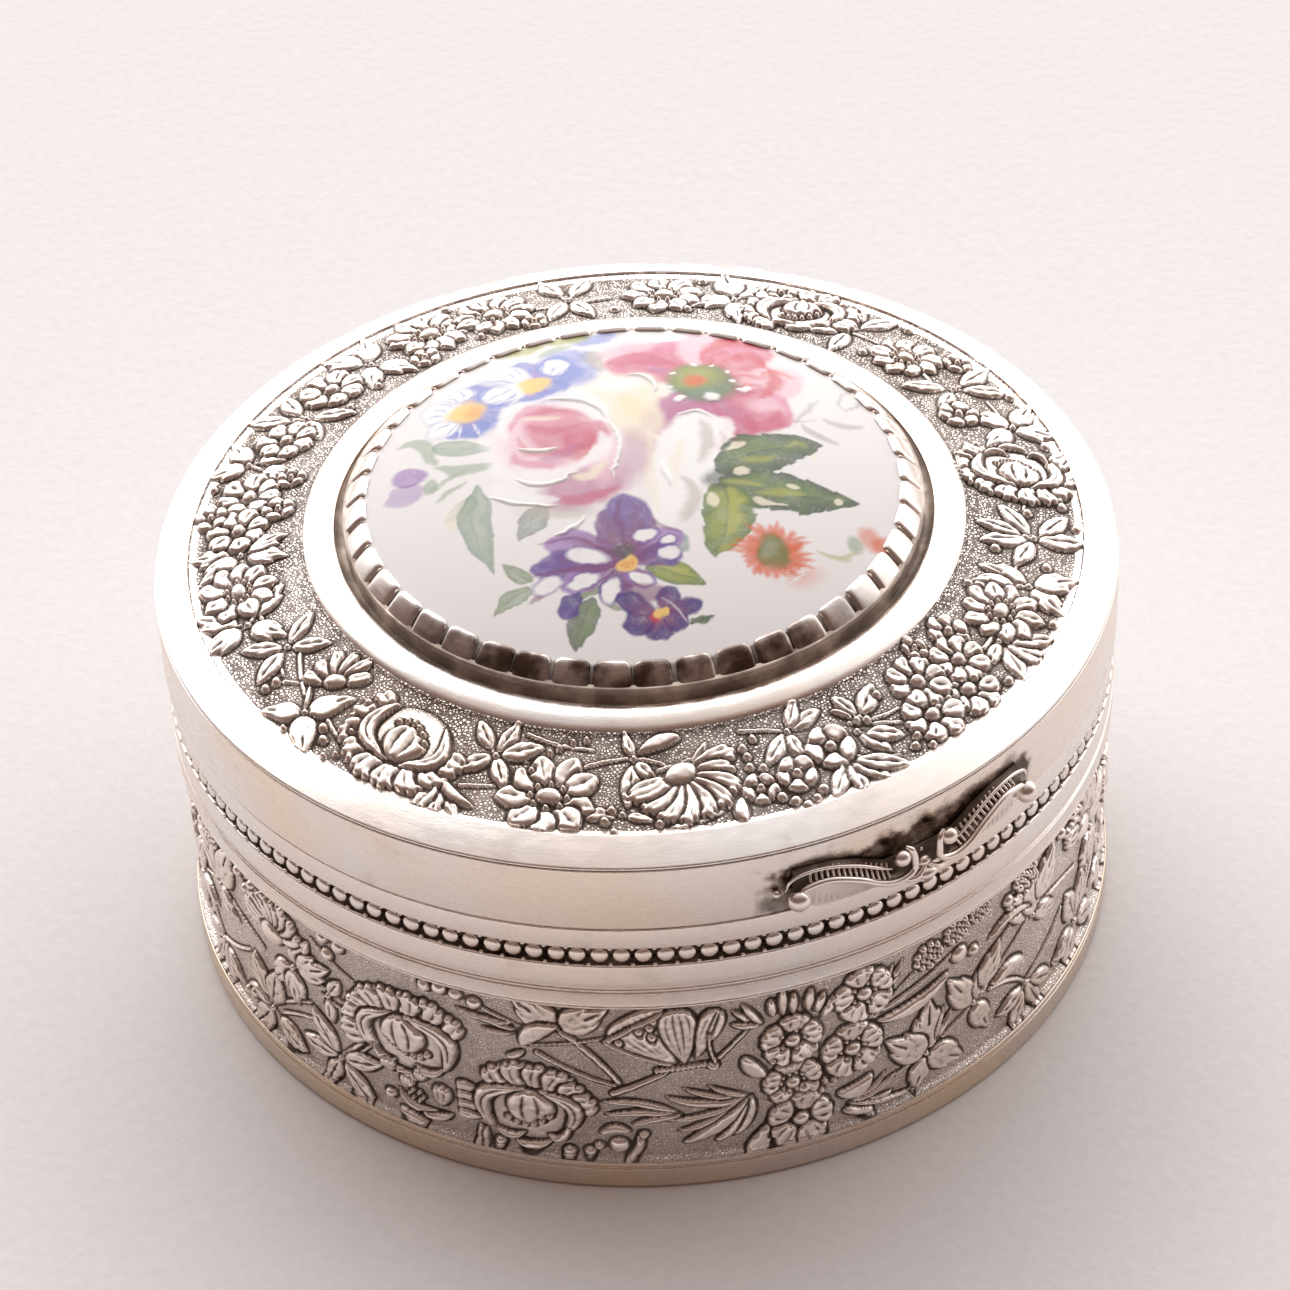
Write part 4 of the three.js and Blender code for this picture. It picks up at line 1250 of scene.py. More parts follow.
# ---------- chased meshes ----------
def chased_piece(name, sheet, surface, inner, silver, body, node, folds):
    """The closed body of a chased sheet. surface(v, height) gives radius and z of the outside;
    inner lists the (radius, z) corners that close it, from its last row back to its first."""
    angle = np.arange(sheet.columns) * 2 * np.pi / sheet.columns
    across = np.arange(sheet.rows) * sheet.step[1]
    radius, z = surface(np.repeat(across[:, None], sheet.columns, 1), sheet.height)
    for corner in inner:
        radius = np.vstack([radius, np.full(sheet.columns, corner[0])])
        z = np.vstack([z, np.full(sheet.columns, corner[1])])
    rows = len(radius)
    points = np.stack([radius * np.sin(angle), -radius * np.cos(angle), z], 2).reshape(-1, 3)
    closing = grid_faces(2, sheet.columns) % sheet.columns
    closing[:, :2] += (rows - 1) * sheet.columns
    faces = np.vstack([grid_faces(rows, sheet.columns), closing])
    piece = new_piece(name, points, faces, silver, body, [node], sharp=0)
    for label, field in (("hollow", sheet.hollow()), ("ground", sheet.ground())):
        values = np.zeros(rows * sheet.columns, np.float32)
        values[:field.size] = field.ravel()
        layer = piece.data.attributes.new(label, "FLOAT", "POINT")
        layer.data.foreach_set("value", values)
    fold_uv(piece, rows, sheet.columns, folds)


def fold_uv(piece, rows, columns, folds):
    """Lays the long band out as several strips one over the other, for an even texture."""
    row = np.repeat(np.arange(rows), columns)
    column = np.tile(np.arange(columns), rows)
    per_strip = math.ceil(columns / folds)
    strip = column // per_strip
    left = (column - strip * per_strip) / per_strip
    right = left + 1 / per_strip
    low = (strip + 0.02 + 0.96 * row / rows) / folds
    high = low + 0.96 / rows / folds
    corners = np.stack([left, low, right, low, right, high, left, high], 1)
    layer = piece.data.uv_layers.new(name="OFBake")
    layer.data.foreach_set("uv", corners.astype(np.float32).ravel())


def add_side_wall():
    """The flower band of the side, with a smooth edge at its top and bottom."""
    low, high = bottom("side_wall"), top("side_wall")
    sheet = Sheet(2 * math.pi * (SIDE_GROUND + 0.2), high - low)
    chase_side(sheet)
    sheet.finish(RNG)

    def surface(across, height):
        border = np.minimum(across, high - low - across)
        edge = 0.38 * (1 - np.clip(border / 0.16, 0, 1) ** 2)
        raised = np.where(edge > 0, np.maximum(height, edge), height)
        return SIDE_GROUND + raised, low + across

    inner = [(WALL_INNER, high), (WALL_INNER, low)]
    chased_piece("side_wall", sheet, surface, inner, CHASED_SIDE, "base", "side_wall", 4)


def add_lid_top():
    """The chased ring of the lid. It rises from the border to the smooth frame ring."""
    width = LID_BORDER - FRAME_OUTER
    sheet = Sheet(math.pi * (FRAME_OUTER + LID_BORDER), width)
    chase_lid(sheet)
    sheet.finish(RNG)

    def surface(across, height):
        radius = FRAME_OUTER + across
        sunk = 0.16 * np.clip(np.minimum(across, width - across) / 0.15, 0, 1)
        return radius, lid_slope(radius) - sunk + height

    inner = [(LID_BORDER, 21.1), (FRAME_OUTER, 22.5)]
    chased_piece("lid_flowers", sheet, surface, inner, CHASED, "lid", "lid_top", 5)


# ---------- the painted plaque ----------
def srgb(*levels):
    """A screen colour, 0 to 255, as the linear colour a shader works with."""
    share = np.array(levels, float) / 255
    return np.where(share < 0.04, share / 12.92, ((share + 0.055) / 1.055) ** 2.4)


WHITE_GLAZE = srgb(238, 233, 231)
GLAZE_TONE = 0.86                       # how much of the white light the glaze gives back
WHITE = srgb(246, 243, 240)
CREAM = srgb(240, 229, 204)
SHADE = srgb(186, 172, 164)
PALE_PINK = srgb(238, 198, 208)
PINK = srgb(214, 122, 148)
ROSE_RED = srgb(196, 78, 110)
CARMINE = srgb(202, 66, 74)
MAUVE = srgb(186, 112, 150)
LILAC = srgb(166, 128, 186)
BLUE = srgb(122, 136, 204)
PURPLE = srgb(104, 74, 152)
VIOLET = srgb(68, 46, 124)
PLUM = srgb(120, 50, 106)
YELLOW = srgb(246, 206, 112)
ORANGE = srgb(220, 92, 26)
LIME = srgb(170, 170, 74)
LEAF = srgb(98, 122, 60)
BOTTLE = srgb(58, 74, 48)
SAGE = srgb(158, 172, 148)
TEAL = srgb(112, 142, 124)
GREY = srgb(160, 152, 148)


class Enamel:
    """Brushes for the plaque. Places are mm right and up, as seen from the front."""

    def __init__(self, x, y, step, random):
        self.random = random
        self.step = step
        shake = self.cloud(x.shape, 0.3)
        self.x = (x + 0.09 * self.cloud(x.shape, 1.1) + 0.03 * shake).ravel()
        self.y = (y + 0.09 * self.cloud(x.shape, 1.1) - 0.03 * shake).ravel()
        self.wash = self.cloud(x.shape, 0.55).ravel()
        self.stipple = self.cloud(x.shape, 0.06).ravel()
        self.colour = np.tile(WHITE_GLAZE, (x.size, 1))
        self.raised = np.zeros(x.size)

    def cloud(self, shape, size):
        """A random field with soft spots of about a size in mm."""
        frequency = [np.fft.fftfreq(count, self.step) for count in shape]
        distance = frequency[0][:, None] ** 2 + frequency[1][None, :] ** 2
        field = np.fft.fft2(self.random.normal(0, 1, shape)) * np.exp(-(size * 1.9) ** 2 * distance)
        field = np.fft.ifft2(field).real
        return field / field.std()

    def near(self, places, margin):
        """The points within reach of some places: all that one touch can change."""
        low, high = np.min(places, 0) - margin, np.max(places, 0) + margin
        return np.flatnonzero((self.x > low[0]) & (self.x < high[0])
                              & (self.y > low[1]) & (self.y < high[1]))

    def local(self, near, place, angle):
        """Coordinates of some points as seen from a place and turned by some degrees."""
        return unturned(self.x[near] - place[0], self.y[near] - place[1], angle)

    def along(self, base, tip, margin):
        """The points near a line, their coordinates along and across it, and its length."""
        line = np.subtract(tip, base)
        near = self.near([base, tip], margin)
        x, y = self.local(near, base, math.degrees(math.atan2(line[1], line[0])))
        return near, x, y, float(np.hypot(*line))

    def lay(self, near, amount, tint, grain=0.05):
        """Mixes a colour in, by an amount at each point, with the grain of the print."""
        uneven = 1 + grain * self.stipple[near] + grain * self.wash[near]
        amount = np.clip(amount, 0, 1) * np.clip(uneven, 0, 1)
        self.colour[near] += (tint - self.colour[near]) * amount[:, None]

    def lift(self, near, height):
        """Raises points to a height, where they are not higher already."""
        self.raised[near] = np.maximum(self.raised[near], height)

    def oval(self, place, radii, turn, tint, veil=1.0, soft=0.25, grain=0.05):
        """A soft-edged oval touch."""
        near = self.near([place], max(radii) * (1 + soft) + 0.2)
        x, y = self.local(near, place, turn)
        away = np.hypot(x / radii[0], y / radii[1])
        self.lay(near, veil * np.clip((1 + soft / 2 - away) / soft, 0, 1), tint, grain)

    def petal(self, base, tip, width, root, end, veil=0.95, belly=1.25, soft=0.12, lines=3.0):
        """A brushed petal from base to tip, one colour at the root and another at the end."""
        near, x, y, length = self.along(base, tip, width / 2 + soft + 0.2)

        def half(position):
            t = np.clip(position / length, 0, 1)
            return width / 2 * np.sin(np.pi * t ** belly) ** 0.6

        edge = inside(x, y, length, half)
        streak = np.sin(lines * np.pi * y / width / (0.35 + x / length) + 0.8 * self.wash[near])
        share = np.clip(x / length + 0.16 * streak, 0, 1)[:, None]
        share = share * share * (3 - 2 * share)
        self.lay(near, veil * np.clip(edge / soft + 0.5, 0, 1), root + (end - root) * share)

    def stroke(self, begin, bend, end, width, tint, veil=0.9, raised=0.0, soft=0.08):
        """One curved touch of the brush; a raised one is thick white enamel."""
        near = self.near([begin, bend, end], width + soft + 0.2)
        edge, _ = curl(begin, bend, end, width, 1.0)(self.x[near], self.y[near])
        self.lay(near, veil * np.clip(edge / soft + 0.5, 0, 1), tint)
        self.lift(near, raised * bulge(edge, width / 2))

    def leaf(self, base, tip, width, light, dark, bow=0.0, veil=0.95, teeth=0.0):
        """A leaf with a dark edge, a light heart on one side and a dark midrib."""
        near, x, y, length = self.along(base, tip, width / 2 + abs(bow) + 0.3)
        y = y - bow * np.sin(np.pi * np.clip(x / length, 0, 1))

        def half(position):
            t = np.clip(position / length, 0, 1)
            return width / 2 * np.sin(np.pi * t ** 0.8) ** 0.8 * (1 - teeth * ((5 * t) % 1))

        edge = inside(x, y, length, half)
        vein = np.sin(5.5 * np.pi * (x / length - 0.5 * np.abs(y) / width)) * 0.18
        heart = np.clip(edge / (0.26 * width) + vein + 0.22 * self.wash[near], 0, 1)
        heart *= np.where(y > 0, 1.0, 0.62)
        heart *= 1 - 0.75 * np.exp(-(y / 0.07) ** 2)
        tint = dark + (light - dark) * heart[:, None]
        self.lay(near, veil * np.clip(edge / 0.1 + 0.5, 0, 1), tint)

    def spots(self, places, radius, tint, raised=0.0):
        for place in places:
            self.oval(place, (radius, radius * 0.8), 20, tint, 0.95, 0.5)
            near = self.near([place], radius)
            away = np.hypot(self.x[near] - place[0], self.y[near] - place[1])
            self.lift(near, raised * bulge(radius - away, radius))


def paint_twigs(enamel):
    """Grey sprays on the right and faint leaves and stems on the left."""
    for begin, bend, end, width in (
            ((8.1, 3.7), (8.9, 4.9), (9.6, 5.9), 0.22),
            ((8.6, 3.8), (9.2, 2.9), (10.3, 2.2), 0.5),
            ((9.8, 4.5), (10.5, 3.9), (11.6, 3.8), 0.4),
            ((7.6, 3.9), (8.4, 4.0), (9.4, 4.3), 0.14),
            ((11.5, 8.0), (11.9, 6.5), (11.0, 5.2), 0.3),
            ((11.4, 7.6), (10.7, 6.2), (11.1, 5.2), 0.16)):
        enamel.stroke(begin, bend, end, width, GREY, 0.55, 0, 0.2)
    for begin, bend, end, width in (
            ((-11.7, 4.0), (-10.4, 3.9), (-9.7, 1.9), 0.85),
            ((-9.8, 1.8), (-8.2, 1.1), (-6.8, 1.5), 0.9),
            ((-10.3, -0.4), (-9.2, 0.7), (-8.0, 1.0), 0.3),
            ((-9.6, -1.0), (-9.0, -0.4), (-8.2, 0.2), 0.35)):
        enamel.stroke(begin, bend, end, width, SAGE, 0.75, 0, 0.2)
    enamel.leaf((-9.8, 3.5), (-6.9, 2.6), 1.3, SAGE, TEAL, -0.1, 0.7)
    enamel.petal((-7.9, -0.9), (-9.0, -3.4), 1.3, SAGE, CREAM, 0.6)
    enamel.leaf((-7.7, -0.2), (-7.0, -6.8), 1.6, SAGE, TEAL, -0.35, 0.75)
    enamel.leaf((-4.5, -2.3), (-5.6, -4.8), 1.5, TEAL, BOTTLE, 0.1, 0.6)
    for touch in (
            ((-3.5, -2.9), (1.8, 0.5), -6, SHADE, 0.55, 0.8),
            ((-11.0, 1.3), (0.95, 0.7), 20, LILAC, 0.9),
            ((-11.3, -0.1), (0.95, 0.85), 0, LILAC, 0.62)):
        enamel.oval(*touch)
    enamel.stroke((-11.8, 0.9), (-11.2, 0.6), (-10.3, 0.8), 0.2, PURPLE, 0.5)
    enamel.oval((-10.1, 0.2), (0.35, 0.6), 0, SAGE, 0.8)


def paint_blue_flowers(enamel):
    """Two white and blue flowers with yellow hearts, and sprays behind them."""
    for place, radii, turn, tint in (
            ((-5.9, 13.0), (1.1, 0.45), 15, BLUE), ((-1.5, 12.5), (1.2, 0.6), 20, BLUE),
            ((-5.5, 12.2), (1.25, 0.85), 15, LIME), ((-2.9, 13.0), (1.2, 0.75), 5, LIME),
            ((-3.6, 11.6), (0.9, 0.4), 25, SAGE), ((-1.7, 10.5), (0.7, 0.6), -40, GREY),
            ((-1.4, 9.6), (0.45, 0.8), 20, SHADE)):
        enamel.oval(place, radii, turn, tint, 0.8, 0.5)
    for place, tips in (
            ((-4.7, 8.1), ((-2.2, 9.4), (-2.9, 7.2), (-4.4, 5.9), (-3.3, 10.9), (-5.4, 10.7))),
            ((-8.1, 6.2), ((-7.3, 8.7), (-6.2, 7.3), (-6.5, 4.8), (-7.6, 3.7), (-8.8, 3.9)))):
        for index, tip in enumerate(tips):
            root = BLUE if index % 2 else LILAC
            enamel.petal(place, tip, 1.7, root, BLUE, 0.85, 1.6, 0.3)
    for place, radii, turn in (
            ((-2.8, 8.9), (1.2, 1.4), -20), ((-3.2, 10.6), (1.4, 0.8), 20),
            ((-4.1, 6.5), (1.3, 0.8), 10), ((-6.6, 7.2), (0.8, 1.6), 15),
            ((-7.3, 4.5), (1.3, 0.8), 10)):
        enamel.oval(place, radii, turn, BLUE, 0.7, 0.5)
    for place, radii, turn in (
            ((-6.2, 7.6), (1.1, 0.85), 20), ((-5.7, 9.4), (1.0, 0.7), -50),
            ((-3.7, 9.7), (0.65, 0.8), 10), ((-9.5, 6.6), (0.8, 1.1), 0),
            ((-9.3, 4.9), (0.85, 0.7), 40), ((-8.3, 8.0), (0.75, 0.6), 0)):
        enamel.oval(place, (radii[0] + 0.16, radii[1] + 0.16), turn, BLUE, 0.28, 0.3)
        enamel.oval(place, radii, turn, WHITE, 0.95, 0.3)
    for begin, end in (((-8.9, 5.2), (-9.2, 3.9)), ((-8.4, 5.2), (-8.3, 3.8)),
                       ((-7.9, 5.2), (-7.4, 3.9))):
        enamel.stroke(begin, np.add(begin, end) / 2, end, 0.16, WHITE, 0.8)
    for heart in ((-4.65, 8.1), (-8.05, 6.3)):
        for angle in range(0, 360, 20):
            outward = np.array(polar(1.0, angle))
            begin, end = heart + 1.15 * outward, heart + enamel.random.uniform(1.9, 2.4) * outward
            enamel.stroke(begin, (begin + end) / 2 + 0.1, end, 0.13, BLUE, 0.6, 0, 0.06)
    for touch in (
            ((-4.65, 8.1), (0.85, 0.72), 15, YELLOW, 0.95, 0.45),
            ((-8.05, 6.3), (1.0, 0.9), 15, YELLOW, 0.95, 0.45),
            ((-7.7, 6.2), (0.55, 0.6), 15, ORANGE, 0.35, 0.9)):
        enamel.oval(*touch)


def paint_anemone(enamel):
    """The pink anemone: five ragged petals round a green heart with white stamens."""
    heart = (3.9, 7.2)
    for tip, width, root, end in (
            ((-0.4, 11.0), 4.4, ROSE_RED, PINK), ((2.0, 12.0), 3.4, ROSE_RED, PINK),
            ((4.4, 12.9), 3.2, PALE_PINK, PALE_PINK), ((6.6, 12.0), 3.8, CARMINE, PINK),
            ((8.8, 7.2), 3.8, CARMINE, PALE_PINK), ((7.9, 3.6), 3.6, ROSE_RED, PINK),
            ((1.4, 2.9), 3.4, MAUVE, MAUVE), ((3.4, 2.2), 3.4, MAUVE, MAUVE),
            ((5.2, 1.3), 3.2, MAUVE, ROSE_RED)):
        enamel.petal(heart, tip, width, root, end, 0.92, 1.7, 0.35, 6.0)
    for place, radii, turn in (
            ((0.2, 11.3), (1.5, 0.7), 20), ((4.2, 11.9), (0.9, 0.9), 0),
            ((8.0, 7.9), (0.7, 1.0), 0), ((6.9, 5.3), (1.0, 0.7), -30),
            ((-0.6, 10.4), (0.6, 0.8), 30), ((7.9, 6.5), (0.6, 0.6), 0)):
        enamel.oval(place, radii, turn, PALE_PINK, 0.75, 0.9)
    for begin, bend, end, width, tint in (
            ((3.9, 10.3), (5.2, 11.6), (7.0, 10.9), 0.9, CARMINE),
            ((5.4, 9.8), (6.4, 10.0), (7.0, 9.0), 0.9, CARMINE),
            ((6.4, 5.9), (7.6, 7.4), (7.1, 9.0), 0.8, CARMINE),
            ((-0.7, 9.4), (0.8, 9.9), (2.3, 9.5), 1.3, ROSE_RED),
            ((0.9, 8.6), (1.4, 8.8), (2.0, 8.5), 0.8, MAUVE),
            ((5.4, 3.9), (6.8, 3.4), (7.5, 4.9), 1.0, ROSE_RED),
            ((6.9, 8.2), (7.5, 8.7), (8.3, 8.1), 0.25, ORANGE)):
        enamel.stroke(begin, bend, end, width, tint, 0.75, 0, 0.3)
    for touch in (
            ((3.85, 7.4), (1.75, 2.0), 20, BOTTLE, 0.6, 0.3),
            ((3.8, 7.45), (1.62, 1.88), 20, LEAF, 0.85, 0.3),
            ((3.5, 8.0), (1.25, 1.2), 20, LIME, 0.75, 0.9),
            ((3.9, 6.3), (1.0, 0.5), 20, TEAL, 0.6, 0.9),
            ((3.45, 7.5), (0.66, 0.5), -25, ORANGE, 0.9, 0.6)):
        enamel.oval(*touch)
    for dots in (
            ([(4.4, 5.95)], 0.46, WHITE, 0.05), ([(5.75, 6.7), (2.7, 5.8)], 0.3, WHITE, 0.04),
            ([(5.3, 8.4), (2.2, 8.3), (3.3, 9.4), (4.4, 9.2), (5.4, 7.5), (2.2, 7.0)], 0.17,
             WHITE)):
        enamel.spots(*dots)


def paint_rose(enamel):
    """The pink rose: cream outer petals, a deep heart, and thick white touches."""
    for touch in (
            ((-0.2, 6.6), (2.1, 1.9), -30, CREAM, 0.75, 0.4),
            ((0.5, 4.4), (1.3, 2.4), 10, CREAM, 0.8, 0.4),
            ((0.2, 1.2), (1.2, 2.0), 0, MAUVE, 0.5, 0.7),
            ((-0.5, 7.6), (1.5, 0.7), 10, WHITE, 0.8, 0.6),
            ((0.2, 5.4), (0.5, 1.2), 15, YELLOW, 0.25, 1.0),
            ((-3.9, 2.5), (3.4, 3.9), 12, WHITE, 0.9, 0.2),
            ((-2.4, -1.1), (2.3, 1.5), 20, MAUVE, 0.8, 0.45),
            ((-1.2, 1.0), (0.8, 2.0), -8, PALE_PINK, 0.7, 0.7),
            ((-4.1, 3.0), (2.5, 2.9), 10, PALE_PINK, 0.85, 0.5)):
        enamel.oval(*touch)
    enamel.petal((-2.7, 1.2), (-4.3, 5.9), 3.2, ROSE_RED, PINK, 0.7, 1.0, 0.5, 2.0)
    enamel.petal((-3.2, 1.6), (-1.2, 4.2), 2.2, ROSE_RED, PINK, 0.8, 1.2, 0.4, 2.0)
    for begin, bend, end, width, tint in (
            ((-5.9, 4.0), (-5.3, 5.4), (-3.7, 5.6), 0.95, PINK),
            ((-5.8, 2.2), (-5.2, 0.9), (-3.4, 0.9), 0.9, PINK),
            ((-4.9, 4.4), (-4.0, 3.6), (-2.6, 3.9), 0.8, ROSE_RED),
            ((-4.6, 1.3), (-3.6, 1.5), (-2.6, 2.4), 0.7, MAUVE),
            ((-5.5, 3.4), (-4.9, 1.9), (-3.2, 2.0), 0.5, ROSE_RED),
            ((-5.0, 5.3), (-3.2, 5.4), (-1.9, 4.4), 0.45, ROSE_RED),
            ((-2.0, 3.2), (-2.1, 1.7), (-3.1, 1.1), 0.4, CARMINE),
            ((-3.6, -1.8), (-2.2, -2.1), (-0.5, -1.1), 0.9, ROSE_RED)):
        enamel.stroke(begin, bend, end, width, tint, 0.62, 0, 0.35)
    for begin, bend, end, width, tint in (
            ((-6.3, 3.1), (-6.0, 5.4), (-4.4, 6.5), 0.8, WHITE),
            ((-5.4, 4.9), (-4.4, 4.9), (-3.4, 4.6), 0.35, CREAM),
            ((-4.6, 6.5), (-2.2, 6.4), (-1.0, 4.0), 0.9, WHITE),
            ((-2.6, 0.8), (-1.4, 1.6), (-1.5, 3.2), 1.0, WHITE),
            ((-5.9, 1.2), (-4.2, 0.0), (-2.2, 0.9), 0.8, WHITE),
            ((-6.8, -0.2), (-5.8, -1.6), (-3.6, -1.9), 1.2, WHITE),
            ((-2.9, -0.3), (-2.0, -0.2), (-1.0, 0.8), 0.7, CREAM)):
        enamel.stroke(begin, bend, end, width, tint, 0.8, 0, 0.3)
    for begin, bend, end, width in (
            ((-5.7, 2.6), (-4.6, 2.1), (-3.7, 2.3), 0.3),
            ((-5.8, -0.1), (-4.3, -0.6), (-2.7, 0.1), 0.32),
            ((-7.2, -1.2), (-5.6, -2.1), (-3.6, -2.4), 0.22),
            ((-4.1, -4.4), (-3.1, -4.2), (-2.4, -3.4), 0.3),
            ((-4.3, 6.5), (-2.3, 6.0), (-1.0, 4.4), 0.24),
            ((-0.9, 4.2), (-0.5, 1.8), (-0.9, -0.6), 0.26),
            ((-0.2, 8.6), (1.1, 7.8), (1.3, 6.6), 0.26)):
        shadow = [np.add(place, (0.02, -0.11)) for place in (begin, bend, end)]
        enamel.stroke(*shadow, width, SHADE, 0.75, 0, 0.12)
        enamel.stroke(begin, bend, end, width, WHITE, 0.95, 0.06)


def paint_white_bud(enamel):
    """The white bud beside the rose, with grey and cream folds and two thick white touches."""
    for touch in (
            ((3.5, 3.2), (1.3, 1.4), 0, WHITE, 0.95, 0.2),
            ((4.2, 1.4), (0.9, 2.6), -14, WHITE, 0.9, 0.2),
            ((2.4, 0.4), (1.45, 3.9), -10, WHITE, 0.95, 0.18),
            ((1.7, -2.6), (0.75, 1.9), -8, WHITE, 0.85, 0.3)):
        enamel.oval(*touch)
    for begin, bend, end, width, tint in (
            ((3.5, 3.9), (3.9, 2.2), (3.3, 0.2), 0.7, SHADE),
            ((2.3, -0.9), (2.9, -2.2), (2.3, -4.2), 0.65, SHADE),
            ((1.1, 2.6), (0.9, -0.4), (1.3, -3.4), 0.5, CREAM),
            ((2.6, 2.4), (2.3, 0.6), (2.0, -1.2), 0.5, CREAM),
            ((4.6, 2.8), (4.9, 1.4), (4.2, -0.4), 0.25, SHADE)):
        enamel.stroke(begin, bend, end, width, tint, 0.6, 0, 0.3)
    enamel.stroke((1.7, 0.5), (1.6, -0.4), (1.9, -1.4), 0.3, WHITE, 0.95, 0.06)
    enamel.stroke((2.6, 4.3), (3.4, 4.7), (4.3, 4.0), 0.28, WHITE, 0.95, 0.05)


def paint_dark_leaves(enamel):
    """Three broad serrated leaves, olive with yellow hearts and pale flecks."""
    for leaf in (
            ((4.1, -0.4), (9.5, 2.0), 3.4, LEAF, BOTTLE, 0.55, 0.95, 0.12),
            ((4.2, -1.0), (11.0, -2.6), 3.3, LEAF, BOTTLE, -0.35, 0.95, 0.12),
            ((4.6, -1.2), (3.9, -6.8), 2.9, LIME, LEAF, 0.25, 0.95, 0.1)):
        enamel.leaf(*leaf)
    enamel.oval((4.5, -1.0), (1.0, 0.8), 20, BOTTLE, 0.7, 0.6)
    for begin, bend, end, width in (
            ((4.4, -1.2), (5.1, -1.2), (6.2, -1.5), 0.5),
            ((5.9, -2.2), (7.2, -1.9), (8.4, -2.1), 0.55),
            ((5.4, 0.6), (6.4, 0.6), (7.2, 1.0), 0.4),
            ((4.7, -2.4), (4.9, -3.4), (4.6, -4.8), 0.55),
            ((7.6, 1.6), (8.1, 1.9), (8.6, 1.7), 0.3)):
        enamel.stroke(begin, bend, end, width, LIME, 0.75, 0, 0.3)
    for place, radii, turn in (
            ((5.5, -0.35), (0.5, 0.25), 30), ((3.85, -2.6), (0.32, 0.5), -10),
            ((6.3, -2.8), (0.55, 0.24), -30), ((9.9, -2.5), (0.22, 0.3), 0),
            ((7.9, -1.5), (0.3, 0.14), -20), ((5.3, 1.8), (0.6, 0.2), 30),
            ((8.9, 0.9), (0.14, 0.3), 10), ((7.0, -3.1), (0.4, 0.12), -20)):
        enamel.oval(place, radii, turn, CREAM, 0.85, 0.4)
    enamel.leaf((0.5, -7.3), (3.3, -8.5), 1.7, LIME, LEAF, 0.15)
    enamel.leaf((-2.1, -9.1), (-3.1, -12.3), 1.5, LEAF, BOTTLE, -0.1, 0.85)
    enamel.stroke((-1.2, -9.0), (-2.0, -8.6), (-2.9, -9.3), 0.6, LEAF, 0.8)
    enamel.stroke((-1.4, -8.6), (-1.3, -9.6), (-0.8, -10.2), 0.4, LEAF, 0.7)
    for leaf in (
            ((-5.1, -7.7), (-6.5, -6.4), 0.95, SAGE, LEAF, 0.1, 0.8),
            ((-5.2, -8.0), (-6.9, -9.5), 1.0, SAGE, LEAF, -0.1, 0.75),
            ((2.4, -11.0), (3.7, -10.5), 0.4, LEAF, BOTTLE)):
        enamel.leaf(*leaf)
    enamel.oval((2.2, -5.7), (0.4, 0.6), 15, TEAL, 0.75, 0.4)


